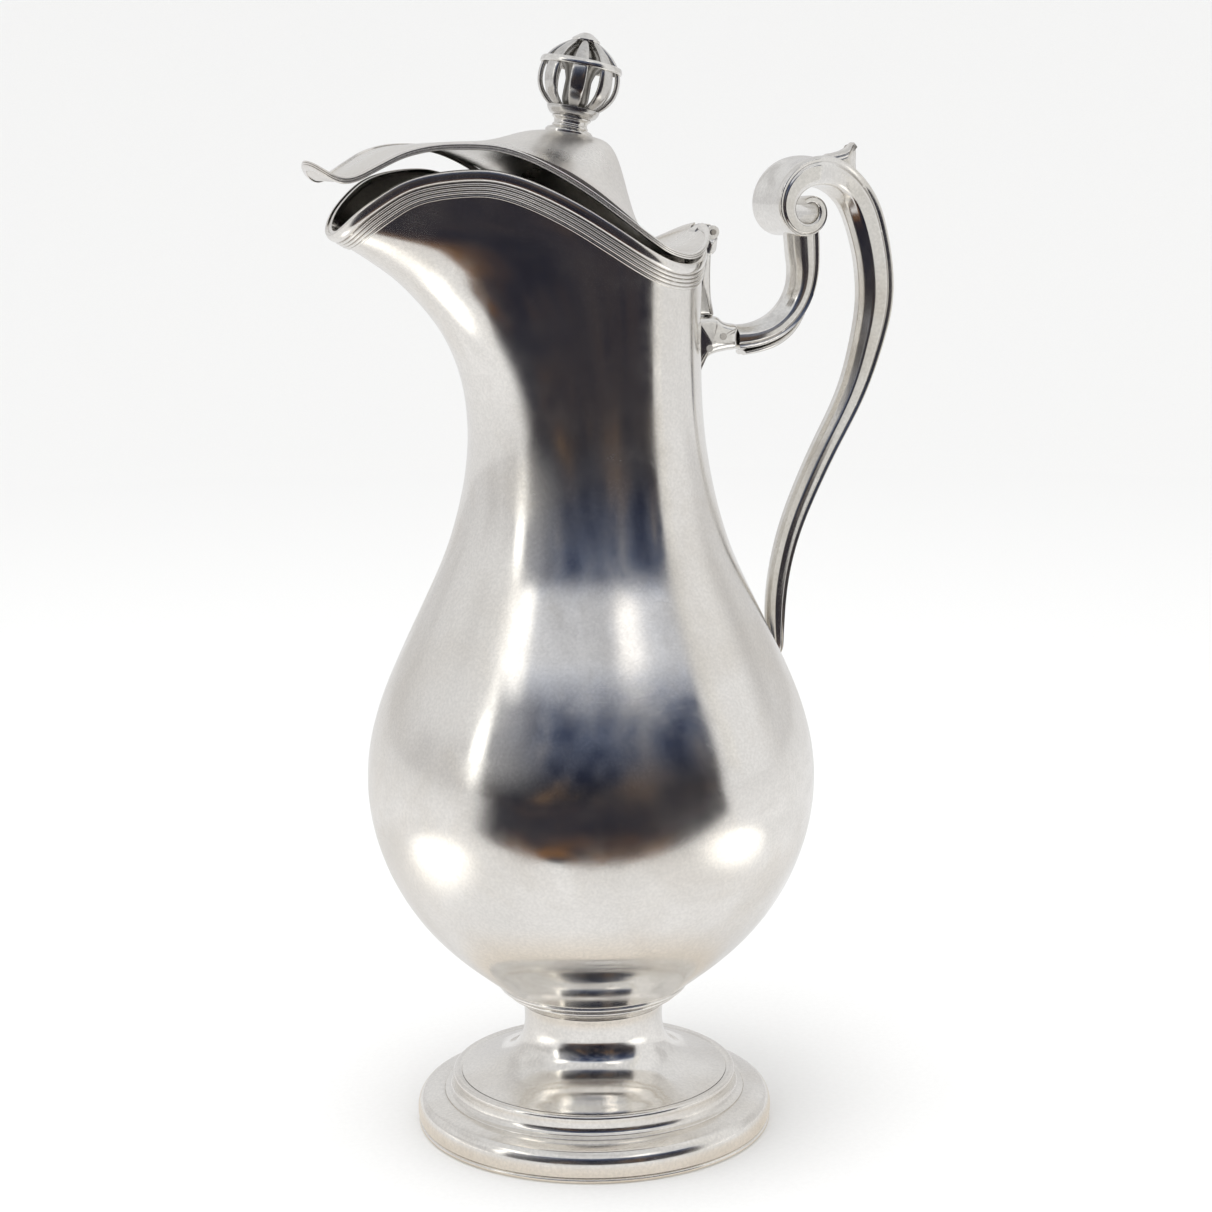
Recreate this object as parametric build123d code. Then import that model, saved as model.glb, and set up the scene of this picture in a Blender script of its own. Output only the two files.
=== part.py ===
from build123d import *
import os
from math import sin, cos, tan, pi, sqrt, exp, radians, degrees, atan2, hypot

# ---------------------------------------------------------------------------
# Footed silver water pitcher: pear-shaped body with a flaring spout, reeded
# wavy rim, stepped round foot, scroll handle, and a hinged domed lid with an
# openwork orb finial.  Millimetres, +Z up, origin at the centre of the foot's
# resting face, spout towards -X, handle towards +X, symmetric about XZ.
# ---------------------------------------------------------------------------

# ---- driving dimensions ----------------------------------------------------
WALL = 1.2                  # sheet thickness of body and foot
FOOT_R = 54.9               # radius of the foot's outer band
FOOT_BAND_H = 9.4           # height of the outer band
STEP_R = 45.6               # radius of the raised step above the band
STEP_Z = 14.6               # top of the raised step
STEM_R = 21.3               # narrowest stem radius
STEM_TOP = 38.5             # level where body and stem meet
WIRE_R = 1.5                # half height of the wire under the foot
REED_W = 7.0                # depth of the reeded band below the rim
REED_T = 1.25               # how far the reeded band stands out
LID_T = 1.0                 # sheet thickness of the lid
LID_GAP = 0.5               # vertical air between closed lid and rim
HINGE_X, HINGE_Z = 39.2, 273.6   # hinge pin axis, parallel to Y
BARREL_R = 2.0              # hinge barrel radius
PIN_R = 0.85                # hinge pin radius
PIN_CLEAR = 0.05            # radial running clearance of the lid's knuckle
KN_MID = 2.2                # half length of the lid's middle knuckle
KN_OUT = 4.8                # outer end of the fixed knuckles
KN_GAP = 0.3                # axial gap between knuckles
LID_AJAR = 3.5              # degrees the lid stands open in the rest pose
FINIAL_X, FINIAL_Z = -6.6, 300.6   # seat of the finial on the closed lid
FINIAL_LEAN = 8.8           # degrees the seat leans back towards the handle
ORB_R = 12.05               # radius of the finial's cage
GRIP_W, VOLUTE_W, ARM_W = 12.0, 21.0, 12.0   # widths along Y

# ---- smooth interpolation through a table ----------------------------------


def table(xs, ys):
    n = len(xs)
    h = [xs[i + 1] - xs[i] for i in range(n - 1)]
    d = [(ys[i + 1] - ys[i]) / h[i] for i in range(n - 1)]
    m = [0.0] * n
    for i in range(1, n - 1):
        m[i] = (d[i - 1] * h[i] + d[i] * h[i - 1]) / (h[i] + h[i - 1])
    m[0] = d[0] + (d[0] - m[1]) * 0.5
    m[-1] = d[-1] + (d[-1] - m[-2]) * 0.5

    def f(x):
        if x <= xs[0]:
            return ys[0] + (x - xs[0]) * m[0]
        if x >= xs[-1]:
            return ys[-1] + (x - xs[-1]) * m[-1]
        i = 0
        while x > xs[i + 1]:
            i += 1
        t = (x - xs[i]) / h[i]
        return ((1 + 2 * t) * (1 - t) ** 2 * ys[i] + t * (1 - t) ** 2 * h[i] * m[i]
                + t * t * (3 - 2 * t) * ys[i + 1] + t * t * (t - 1) * h[i] * m[i + 1])
    return f


# radius of the round body against height
body_r = table([38.5, 42, 48, 55, 64, 76, 90, 105, 120, 135, 150, 165, 180, 195, 210, 222, 235, 250, 262, 300],
               [22.3, 25.6, 33.2, 41.9, 50.8, 59.1, 65.1, 68.0, 67.4, 63.4, 56.9, 49.7, 42.9, 38.4, 35.6, 34.4,
                34.0, 34.0, 34.3, 35.6])
# how far the spout's keel reaches beyond the round body against height
spout_reach = table([30, 180, 196, 204, 212, 221, 230, 239, 248, 257, 263, 266, 270.5, 273.3, 276, 282, 300],
                    [0, 0, 0.0, 0.15, 0.6, 1.7, 3.5, 6.6, 11.6, 19.1, 25.3, 29.6, 36.3, 40.9, 43.6, 46.4, 48.4])
SPOUT_EXP = 4.6             # how tightly the spout gathers round its keel
# height of the wavy rim against X
rim_z = table([-84, -80, -77.4, -74.2, -70.7, -67.7, -63, -58, -51.5, -45, -39, -34.7, -30.4, -22.9, -13.8, -4.3,
               5.9, 11.9, 17.2, 22, 25.6, 30, 34, 38],
              [266, 271.6, 275.8, 280.3, 283.6, 286.0, 289.2, 291.1, 292.3, 292.8, 292.6, 291.7, 290.3, 287.0,
               282.1, 276.2, 270.0, 267.0, 265.6, 265.3, 265.9, 267.8, 270.8, 274.5])
# underside of the closed lid's plate against X
lid_z = table([-90, -85.2, -82, -79.6, -77.6, -75, -71.5, -68.6, -64.2, -59.4, -54.5, -49.7, -45, -39, -34.7,
               -30.4, -22.9, -13.8, -4.3, 5.9, 11.9, 17.2, 22, 25.6, 30, 34, 36.5, 40],
              [290.2, 286.3, 283.7, 282.5, 282.3, 283.2, 285.4, 287.2, 289.8, 291.6, 292.7, 293.2, 293.4, 293.1,
               292.2, 290.8, 287.5, 282.6, 276.7, 270.5, 267.5, 266.1, 265.8, 266.5, 268.7, 272.0, 274.6, 278.6])


def section(z, t, off=0.0):
    """Body outline at height z; t = 0 at the handle, pi at the spout."""
    r = body_r(z)
    reach = max(spout_reach(z), 0.0)

    def raw(u):
        g = ((1 - cos(u)) / 2) ** SPOUT_EXP
        return r * cos(u) - reach * g, r * sin(u)
    x, y = raw(t)
    if off:
        e = 1e-4
        (x1, y1), (x0, y0) = raw(t + e), raw(t - e)
        tx, ty = x1 - x0, y1 - y0
        n = hypot(tx, ty)
        x, y = x + off * ty / n, y - off * tx / n
    return x, y


def wall_offset(z, t, d):
    """Horizontal distance that gives the wall its true thickness d."""
    e = 0.05
    xa, ya = section(z + e, t)
    xb, yb = section(z - e, t)
    x1, y1 = section(z, t + 1e-4)
    x0, y0 = section(z, t - 1e-4)
    tx, ty = x1 - x0, y1 - y0
    n = hypot(tx, ty)
    nx, ny = ty / n, -tx / n
    slope = ((xa - xb) * nx + (ya - yb) * ny) / (2 * e)
    return d * min(sqrt(1 + slope * slope), 2.4)


N_T = 48


def ring_wire(z, off=0.0, wall=0.0):
    pts = []
    for k in range(N_T):
        t = 2 * pi * k / N_T
        t = t + 0.25 * sin(t)          # more points round the spout's nose
        o = off - (wall_offset(z, t, wall) if wall else 0.0)
        x, y = section(z, t, o)
        pts.append(Vector(x, y, z))
    return Wire([Edge.make_spline(pts, periodic=True)])


def body_loft(zs, off=0.0, wall=0.0):
    return Solid.make_loft([ring_wire(z, off, wall) for z in zs])


def xz_prism(pts_low, pts_high, half=70.0):
    """Prism along Y between a lower and an upper line given as X,Z points."""
    low = Edge.make_spline([Vector(x, -half, z) for x, z in pts_low])
    high = Edge.make_spline([Vector(x, -half, z) for x, z in pts_high])
    a = Edge.make_line(low @ 0, high @ 0)
    b = Edge.make_line(low @ 1, high @ 1)
    f = Face(Wire([low, b, high, a]))
    return Solid.extrude(f, Vector(0, 2 * half, 0))


def frange(a, b, n):
    return [a + (b - a) * i / (n - 1) for i in range(n)]


made = {}


def keep(name, *solids):
    sol = []
    for s in solids:
        sol += list(s.solids())
    shape = sol[0] if len(sol) == 1 else Compound(children=sol)
    shape.label = name
    made[name] = shape
    return shape


# ---- body shell --------------------------------------------------------------
LEVELS = [38.5, 42, 46, 51, 57, 64, 72, 81, 91, 102, 113, 124, 135, 146, 157, 168, 179, 190, 200, 210, 219, 228,
          236, 243, 249, 255, 260, 265, 270, 275, 280, 286, 292, 298]
outer = body_loft(LEVELS)
inner = body_loft([40.3] + LEVELS[1:] + [301], wall=WALL)
XS = frange(-88, 46, 45)
above_rim = xz_prism([(x, rim_z(x)) for x in XS], [(x, 330.0) for x in XS])
keep("body_shell", outer - inner - above_rim)

# ---- reeded rim moulding -------------------------------------------------------


def rim_low(x):
    """Lower edge of the reeded band: the rim line moved REED_W square to itself."""
    best = None
    for i in range(-60, 61):
        u = x + i * 0.2
        s = (rim_z(u + 0.05) - rim_z(u - 0.05)) / 0.1
        n = sqrt(1 + s * s)
        px, pz = u + REED_W * s / n, rim_z(u) - REED_W / n
        d = abs(px - x)
        if best is None or d < best[0]:
            best = (d, pz)
    return best[1]


TOPZ = [250, 255, 260, 265, 270, 275, 280, 286, 292, 298]
band_levels = [252, 256] + TOPZ[2:]
XB = frange(-86, 44, 40)
low_pts = [(x, rim_low(x)) for x in XB]
band_zone = xz_prism(low_pts, [(x, rim_z(x)) for x in XB])
band = body_loft(band_levels, off=REED_T) - body_loft(band_levels, off=0.03)
keep("rim_moulding", band & band_zone)

# ---- foot: spun stem and dome, step, outer band, base wire, collars -------------
FZ = 1.6                    # thickness of the base wire under the band


def revolve_profile(pts, spl=None):
    w = Wire.make_polygon([Vector(x, 0, z) for x, z in pts], close=True)
    return Solid.revolve(Face(w), 360, Axis.Z)


def revolve_wire(edges):
    return Solid.revolve(Face(Wire(edges)), 360, Axis.Z)


stem_curve = [(21.9, STEM_TOP - 0.1), (21.4, 34.5), (STEM_R, 31.0), (22.4, 26.6), (25.4, 22.6), (30.0, 19.4),
              (35.8, 17.3), (41.0, 16.2)]
stem_in = [(39.8, 15.2), (35.2, 16.1), (29.4, 18.3), (24.5, 21.8), (21.3, 26.2), (20.1, 31.0), (20.2, 34.5),
           (20.7, STEM_TOP - 0.1)]
oe = Edge.make_spline([Vector(x, 0, z) for x, z in stem_curve])
ie = Edge.make_spline([Vector(x, 0, z) for x, z in stem_in])
keep("foot_stem", revolve_wire([oe, Edge.make_line(oe @ 1, ie @ 0), ie, Edge.make_line(ie @ 1, oe @ 0)]))
# raised step: a rounded drum that carries the stem
step = [(39.8, 15.2), (41.0, 16.2), (43.0, 16.2), (44.7, 15.7), (STEP_R, 14.2), (STEP_R, 11.4), (46.6, 10.4),
        (46.6, 9.2), (44.3, 9.2), (44.3, 13.6), (43.2, 14.8), (41.5, 15.0)]
keep("foot_step", revolve_profile(step))
# outer band with a rounded shoulder
band_p = [(46.6, 9.2), (46.6, 10.4), (49.8, 10.2), (52.4, 9.7), (54.2, 8.5), (FOOT_R, 6.8), (FOOT_R + 0.1, 4.6),
          (FOOT_R, 2.9), (54.5, FZ), (52.9, FZ), (53.5, 4.6), (53.4, 6.8), (52.0, 8.2), (49.6, 8.9), (46.6, 9.0)]
keep("foot_band", revolve_profile(band_p))
wire_p = [(51.2, 0.0), (54.0, 0.0), (54.6, 0.45), (54.9, 0.9), (54.9, FZ), (51.2, FZ)]
keep("foot_base_wire", revolve_profile(wire_p))
# two fine beads round the bottom of the body, just above the stem
bead_cut = body_loft([38.6, 40, 42, 43, 44, 45, 46, 48, 51], off=0.04)
for name, zc in (("stem_collar_upper", 44.2), ("stem_collar_lower", 42.1)):
    rs = body_r(zc)
    sl = (body_r(zc + 0.5) - body_r(zc - 0.5))
    n = sqrt(1 + sl * sl)
    nx, nz, tx, tz = 1 / n, -sl / n, sl / n, 1 / n
    c = [(rs + nx * a + tx * b, zc + nz * a + tz * b) for a, b in
         ((-0.5, -0.75), (0.25, -0.75), (0.6, -0.55), (0.8, -0.2), (0.8, 0.2), (0.6, 0.55), (0.25, 0.75), (-0.5, 0.75))]
    bead = revolve_profile(c) - bead_cut
    keep(name, max(bead.solids(), key=lambda s: s.volume))

# ---- hinge bracket on the back of the neck ---------------------------------------
neck_cut = body_loft([215, 225, 235, 245, 250, 254, 258, 262, 266, 270, 276, 284], off=0.03)
band_cut = body_loft([250, 256, 262, 268, 274, 280], off=REED_T + 0.04) & band_zone


def xz_plate(pts, y0, y1):
    w = Wire.make_polygon([Vector(x, y0, z) for x, z in pts], close=True)
    return Solid.extrude(Face(w), Vector(0, y1 - y0, 0))


rib = xz_plate([(30, 248.5), (41.4, 248.5), (40.6, 250.4), (40.1, 253.5), (39.9, 260), (40.1, 266.0), (40.3, 269.0),
                (39.8, 270.4), (35.6, 270.4), (30, 266)], -3.0, 3.0)
ears = xz_plate([(35.9, 266.5), (38.9, 266.5), (40.2, 268.0), (40.7, 270.4), (40.9, 272.6), (37.0, 272.6), (36.6, 268.6)],
                -KN_OUT, KN_OUT)
slot = xz_plate([(30, 270.45), (46, 270.45), (46, 280), (30, 280)], -KN_MID - KN_GAP, KN_MID + KN_GAP)
barrels = Solid.make_cylinder(BARREL_R, 2 * KN_OUT, Plane(origin=(HINGE_X, -KN_OUT, HINGE_Z), z_dir=(0, 1, 0)))
barrel_cut = Solid.make_cylinder(BARREL_R, 2 * KN_OUT + 2,
                                 Plane(origin=(HINGE_X, -KN_OUT - 1, HINGE_Z), z_dir=(0, 1, 0)))
mid_gap = Solid.make_box(20, 2 * (KN_MID + KN_GAP), 20, Plane((HINGE_X - 10, -KN_MID - KN_GAP, HINGE_Z - 10)))
pin_hole = Solid.make_cylinder(PIN_R, 2 * KN_OUT + 6,
                               Plane(origin=(HINGE_X, -KN_OUT - 3, HINGE_Z), z_dir=(0, 1, 0)))
bracket = (rib + ears) - neck_cut - band_cut - slot - barrel_cut
bracket = max(bracket.solids(), key=lambda s: s.volume)
keep("hinge_bracket", bracket)
keep("hinge_knuckles", (barrels - mid_gap) - pin_hole)
keep("hinge_pin", Solid.make_cylinder(PIN_R, 2 * KN_OUT + 1.0,
                                      Plane(origin=(HINGE_X, -KN_OUT - 0.5, HINGE_Z), z_dir=(0, 1, 0))))

# ---- handle socket under the bracket ----------------------------------------------
sock = xz_plate([(30, 229.5), (35.0, 229.5), (35.8, 231.0), (37.0, 233.9), (38.4, 236.0), (40.6, 237.2), (44.0, 237.8),
                 (48.3, 238.0), (48.3, 245.9), (45.4, 246.2), (43.4, 246.9), (41.9, 248.45), (30, 248.45)],
                -4.4, 4.4) - neck_cut
sock = max(sock.solids(), key=lambda s: s.volume)
rivet = []
rivet_holes = []
for zz, xx in ((242.4, 42.6), (239.0, 38.0)):
    pl = Plane(origin=(xx, -4.9, zz), z_dir=(0, 1, 0))
    rivet.append(Solid.make_cylinder(1.1, 9.8, pl))
    rivet_holes.append(Solid.make_cylinder(1.1, 9.8, pl))
for h in rivet_holes:
    sock = sock - h
keep("handle_socket", sock)
keep("socket_rivets", *rivet)

# ---- strips: a flat band that follows a line in the XZ plane -----------------------


def smooth_line(pts, n):
    """Even samples (x, z, value) of a smooth curve through the points."""
    s = [0.0]
    for i in range(1, len(pts)):
        s.append(s[-1] + hypot(pts[i][0] - pts[i - 1][0], pts[i][1] - pts[i - 1][1]))
    fs = [table(s, [p[k] for p in pts]) for k in range(len(pts[0]))]
    out = []
    for i in range(n):
        u = s[-1] * i / (n - 1)
        out.append(tuple(f(u) for f in fs))
    return out


def sides(samples):
    left, right = [], []
    for i, p in enumerate(samples):
        a = samples[max(i - 1, 0)]
        b = samples[min(i + 1, len(samples) - 1)]
        tx, tz = b[0] - a[0], b[1] - a[1]
        n = hypot(tx, tz)
        nx, nz = -tz / n, tx / n
        h = p[2] / 2
        left.append((p[0] + nx * h, p[1] + nz * h))
        right.append((p[0] - nx * h, p[1] - nz * h))
    return left, right


def strip(pts, width, n=40):
    L, R = sides(smooth_line(pts, n))
    e1 = Edge.make_spline([Vector(x, -width / 2, z) for x, z in L])
    e2 = Edge.make_spline([Vector(x, -width / 2, z) for x, z in R])
    f = Face(Wire([e1, Edge.make_line(e1 @ 1, e2 @ 1), e2, Edge.make_line(e2 @ 0, e1 @ 0)]))
    return Solid.extrude(f, Vector(0, width, 0))


def bar(pts, n=16):
    """Oval bar lofted along x, z, thickness, width samples."""
    S = smooth_line(pts, n)
    wires = []
    for i, p in enumerate(S):
        a, b = S[max(i - 1, 0)], S[min(i + 1, n - 1)]
        tx, tz = b[0] - a[0], b[1] - a[1]
        pl = Plane(origin=(p[0], 0, p[1]), x_dir=(0, 1, 0), z_dir=(tx, 0, tz))
        k = 20
        loc = []
        for j in range(k):
            an = 2 * pi * j / k
            ca, sa = cos(an), sin(an)
            e = 0.72
            ux = (abs(ca) ** e) * (1 if ca >= 0 else -1) * p[3] / 2
            uy = (abs(sa) ** e) * (1 if sa >= 0 else -1) * p[2] / 2
            loc.append(pl.from_local_coords(Vector(ux, uy, 0)))
        wires.append(Wire([Edge.make_spline(loc, periodic=True)]))
    return Solid.make_loft(wires)


# grip: from the volute's shoulder down to the belly (x, z, thickness, width)
GRIP = [(91.6, 276.6, 11.2, 12.0), (93.3, 271.0, 11.2, 12.0), (94.6, 265.5, 11.0, 12.0), (95.5, 258.9, 11.0, 12.0), (95.6, 249.6, 10.6, 11.8),
        (94.1, 243.0, 9.8, 11.6), (91.7, 234.3, 8.8, 11.2), (88.6, 225.2, 7.9, 10.7), (85.0, 217.8, 7.3, 10.3),
        (78.8, 207.1, 7.0, 9.8), (72.6, 195.0, 6.7, 9.2), (67.2, 182.9, 6.2, 8.6), (63.6, 170.6, 5.8, 8.2),
        (62.0, 160.0, 5.7, 8.0), (61.6, 153.0, 5.6, 8.0), (62.2, 148.0, 5.0, 8.0)]
belly_cut = body_loft([120, 126, 132, 138, 144, 150, 156, 162, 168, 176, 184], off=1.75)
keep("handle_grip", bar(GRIP, 26) - belly_cut - Solid.make_box(60, 60, 60, Plane((60, -30, 271.98))))
# leaf-shaped plate that carries the lower end of the grip on the belly
leaf_out = body_loft([124, 130, 136, 142, 148, 154, 160, 166, 172], off=1.7)
leaf_in = body_loft([124, 130, 136, 142, 148, 154, 160, 166, 172], off=0.14)
leaf_pts = [(0, 131.5), (4.4, 138.5), (6.3, 146.0), (6.0, 153.0), (4.2, 160.5), (0, 167.5), (-4.2, 160.5), (-6.0, 153.0),
            (-6.3, 146.0), (-4.4, 138.5)]
leaf_face = Face(Wire([Edge.make_spline([Vector(30, y, z) for y, z in leaf_pts], periodic=True)]))
leaf_prism = Solid.extrude(leaf_face, Vector(60, 0, 0))
keep("lower_terminal", (leaf_out - leaf_in) & leaf_prism)

# volute: a tapering band wound one and a half turns about its eye, wide across
EYE_X, EYE_Z = 69.0, 279.5
VOL_A = [-26, -15, 0, 15, 30, 45, 60, 75, 90, 105, 120, 135, 150, 165, 180, 195, 210, 225, 240, 255, 270, 285, 300, 315,
         330, 345, 360, 375, 390, 405, 420, 435, 450, 465, 480]
vol_out = table([-26, -15, 0, 30, 60, 90, 120, 150, 180, 210, 240, 270, 300, 330, 360, 390, 420, 450, 480],
                [32.6, 30.2, 27.0, 21.9, 18.2, 15.3, 12.9, 11.2, 10.1, 9.25, 8.5, 7.8, 7.15, 6.6, 6.1, 5.6, 5.1, 4.6, 4.1])
vol_thick = table([-26, -15, 0, 30, 60, 90, 120, 150, 180, 210, 240, 270, 300, 330, 360, 390, 420, 450, 480],
                  [12.4, 12.0, 11.3, 10.2, 9.4, 8.6, 7.6, 6.6, 5.8, 5.2, 4.6, 4.1, 3.7, 3.3, 3.0, 2.7, 2.5, 2.3, 2.1])
HANDLE_SEAM = 272.0         # level where grip and volute meet


def volute_solid(width):
    po, pi_ = [], []
    for a in VOL_A:
        ro = vol_out(a)
        ri = ro - vol_thick(a)
        ca, sa = cos(radians(a)), sin(radians(a))
        po.append(Vector(EYE_X + ro * ca, -width / 2, EYE_Z + ro * sa))
        pi_.append(Vector(EYE_X + ri * ca, -width / 2, EYE_Z + ri * sa))
    e1 = Edge.make_spline(po)
    e2 = Edge.make_spline(pi_)
    f = Face(Wire([e1, Edge.make_line(e1 @ 1, e2 @ 1), e2, Edge.make_line(e2 @ 0, e1 @ 0)]))
    body = Solid.extrude(f, Vector(0, width, 0))
    return body - Solid.make_box(60, 60, 60, Plane((79, -30, HANDLE_SEAM - 60)))


vol = volute_solid(VOLUTE_W)
# the band is narrow where it meets the grip and spreads towards the scroll
TY = [(102, 6.2), (90, 6.2), (82, 7.6), (75, 9.6), (70, VOLUTE_W / 2 + 0.01)]
for sgn in (1, -1):
    q = [(x, sgn * y) for x, y in TY] + [(70, sgn * 30), (102, sgn * 30)]
    wq = Wire.make_polygon([Vector(x, y, 262) for x, y in q], close=True)
    vol = vol - Solid.extrude(Face(wq), Vector(0, 0, 50))
keep("handle_volute", vol)
# pointed leaf standing on the shoulder of the volute
spur = xz_plate([(78.4, 293.6), (79.0, 296.2), (81.6, 296.6), (84.4, 297.3), (86.8, 298.4), (88.6, 299.9), (89.0, 297.4),
                 (89.0, 293.6), (89.2, 289.0), (86.0, 289.0), (82.0, 291.0)], -2.6, 2.6)
spur_cut = volute_solid(VOLUTE_W + 4)
spur = spur - spur_cut
keep("thumb_leaf", max(spur.solids(), key=lambda s: s.volume))

# arm: from the socket, curving up under the volute (x, z, thickness, width)
ARM = [(48.35, 241.8, 7.4, 9.0), (54.6, 242.4, 7.2, 11.0), (61.0, 244.8, 7.2, 12.0), (66.6, 249.8, 7.3, 12.0),
       (69.8, 256.0, 7.6, 12.0), (70.7, 262.0, 8.4, 12.0), (70.5, 267.0, 9.2, 12.0), (70.1, 273.5, 9.6, 12.0)]
vol_cut = volute_solid(VOLUTE_W + 4)
arm = bar(ARM, 18) - vol_cut - Solid.make_box(20, 40, 40, Plane((28.33, -20, 220)))
keep("handle_arm", max(arm.solids(), key=lambda s: s.volume))
# leaf ornament wrapped under the arm near the socket
LEAF = [(50.6, 237.0, 1.5, 7.0), (56.0, 238.1, 2.0, 10.0), (61.8, 240.2, 2.2, 11.0), (66.6, 243.6, 1.8, 10.0), (70.6, 248.4, 1.2, 7.0)]
al = bar(LEAF, 12) - bar(ARM, 18)
keep("arm_leaf", max(al.solids(), key=lambda s: s.volume))

# ---- lid, drawn closed ---------------------------------------------------------


def rim_outline(n):
    """Plan of the rim: where the body's side meets the wavy rim surface."""
    out = []
    for k in range(n):
        t = 2 * pi * k / n
        t = t + 0.25 * sin(t)
        z = 280.0
        for _ in range(60):
            x, y = section(z, t)
            z = 0.6 * z + 0.4 * rim_z(x)
        out.append((x, y, t, z))
    return out


RO = rim_outline(64)


def lid_outline(off):
    pts = []
    n = len(RO)
    for k, (x, y, t, z) in enumerate(RO):
        ax, ay = RO[k - 1][0], RO[k - 1][1]
        bx, by = RO[(k + 1) % n][0], RO[(k + 1) % n][1]
        tx, ty = bx - ax, by - ay
        m = hypot(tx, ty)
        px, py = x + off * ty / m, y - off * tx / m
        u = min(max((-58.0 - x) / 19.4, 0.0), 1.0)
        px -= 6.2 * u * u * (3 - 2 * u)
        pts.append((px, py))
    return pts


DOME_X = FINIAL_X


def lid_top(x, y):
    dx, dy = x - DOME_X, y
    rho = hypot(dx, dy)
    phi = abs(atan2(dy, dx))
    u = phi / pi
    w = u * u * (3 - 2 * u)
    r0 = 17.0 + (23.8 - 17.0) * w + 2.0 * sin(phi) ** 2
    nn = 8.0 + (4.0 - 8.0) * min(1.0, 1.5 * w)
    g = 1.0 / (1.0 + (rho / r0) ** nn)
    zp = lid_z(x) + LID_T
    zt = FINIAL_Z - 0.12 * (x - FINIAL_X)
    cap = 0.9 * (1 - exp(-(rho / 9.0) ** 2)) * g
    return zp + (zt - zp) * g - cap


def lid_under(x, y):
    """Height of the surface one sheet thickness inside the top."""
    best = lid_top(x, y) - LID_T
    for rr in (0.35, 0.7, 0.95):
        drop = sqrt(LID_T ** 2 - (rr * LID_T) ** 2)
        for j in range(8):
            a = pi * j / 4
            best = min(best, lid_top(x + rr * cos(a), y + rr * sin(a)) - drop)
    return best


GX = frange(-92, 43, 76)
GY = frange(-42, 42, 49)
top_face = Face.make_surface_from_array_of_points([[Vector(x, y, lid_top(x, y)) for x in GX] for y in GY], tol=0.02)
und_face = Face.make_surface_from_array_of_points([[Vector(x, y, lid_under(x, y)) for x in GX] for y in GY], tol=0.02)
below_top = Solid.extrude(top_face, Vector(0, 0, -70))
below_und = Solid.extrude(und_face, Vector(0, 0, -90))


def outline_prism(off):
    e = Edge.make_spline([Vector(x, y, 250) for x, y in lid_outline(off)], periodic=True)
    return Solid.extrude(Face(Wire([e])), Vector(0, 0, 62))


LID_OUT = 0.7               # plate reaches this far beyond the rim's plan
EDGE_OUT = 2.1              # edge wire reaches this far
shell = (below_top & outline_prism(LID_OUT)) - below_und
lid_shell = max(shell.solids(), key=lambda s: s.volume)

seat_dir = Vector(sin(radians(FINIAL_LEAN)), 0, cos(radians(FINIAL_LEAN)))
fin = Plane(origin=(FINIAL_X, 0, FINIAL_Z), x_dir=(cos(radians(FINIAL_LEAN)), 0, -sin(radians(FINIAL_LEAN))),
            z_dir=seat_dir)
stud_hole = Solid.make_cylinder(1.6, 12, fin.offset(-8))
lid_shell = lid_shell - stud_hole

XE = frange(-92, 43, 46)
edge_zone = xz_prism([(x, lid_z(x)) for x in XE], [(x, lid_z(x) + 1.9) for x in XE])
edge = (outline_prism(EDGE_OUT) - outline_prism(LID_OUT + 0.02)) & edge_zone

# hinge leaf: short tongue on the lid's back edge, with the middle knuckle
tongue = xz_plate([(34.0, 272.2), (34.5, 274.0), (35.8, 275.4), (37.4, 276.0), (39.2, 275.9), (40.3, 275.1),
                   (HINGE_X + 0.8, HINGE_Z + 0.9), (HINGE_X - 1.5, HINGE_Z + 0.3), (36.6, 273.8), (35.2, 272.6)],
                  -KN_MID, KN_MID)
mid = Solid.make_cylinder(BARREL_R, 2 * KN_MID, Plane(origin=(HINGE_X, -KN_MID, HINGE_Z), z_dir=(0, 1, 0)))
bore = Solid.make_cylinder(PIN_R + PIN_CLEAR, 40, Plane(origin=(HINGE_X, -20, HINGE_Z), z_dir=(0, 1, 0)))
leaf = (tongue + mid) - bore
leaf = leaf - (below_top & outline_prism(LID_OUT))
leaf = max(leaf.solids(), key=lambda s: s.volume)
edge = edge - xz_plate([(30, 262), (46, 262), (46, 284), (30, 284)], -KN_MID - 0.05, KN_MID + 0.05)
lid_edge = max(edge.solids(), key=lambda s: s.volume)

# ---- finial, drawn on the seat's own plane -------------------------------------


def fin_turn(pts, arc=360):
    """Turned shape about the finial's axis from radius, height points."""
    w = Wire.make_polygon([fin.from_local_coords(Vector(r, 0, h)) for r, h in pts], close=True)
    return Solid.revolve(Face(w), arc, Axis(fin.origin, fin.z_dir))


STUD_R = 1.45
h0 = -0.9
seat = fin_turn([(STUD_R, h0), (7.0, h0), (7.0, 0.0), (6.4, 0.7), (5.8, 0.9), (STUD_R, 0.9)])
under_cut = below_top
seat = seat - under_cut
seat = max(seat.solids(), key=lambda s: s.volume)
collar = fin_turn([(STUD_R, 0.9), (5.2, 0.9), (5.4, 1.5), (4.8, 2.2), (5.0, 3.2), (5.7, 3.7), (5.7, 4.2), (STUD_R, 4.2)])
cup = fin_turn([(STUD_R, 4.2), (5.7, 4.2), (6.8, 4.8), (7.5, 5.8), (7.8, 6.9), (7.3, 6.9), (6.8, 6.1), (5.8, 5.4),
                (STUD_R, 5.2)])
K = ORB_R / 12.05
rib_out = [(6.6 * K, 6.2), (8.9 * K, 7.9), (10.6 * K, 9.9), (11.6 * K, 12.0), (12.05 * K, 14.9), (11.7 * K, 18.2), (10.6 * K, 20.6),
           (8.9 * K, 22.8), (6.3 * K, 25.0), (3.9 * K, 26.4)]


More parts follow.
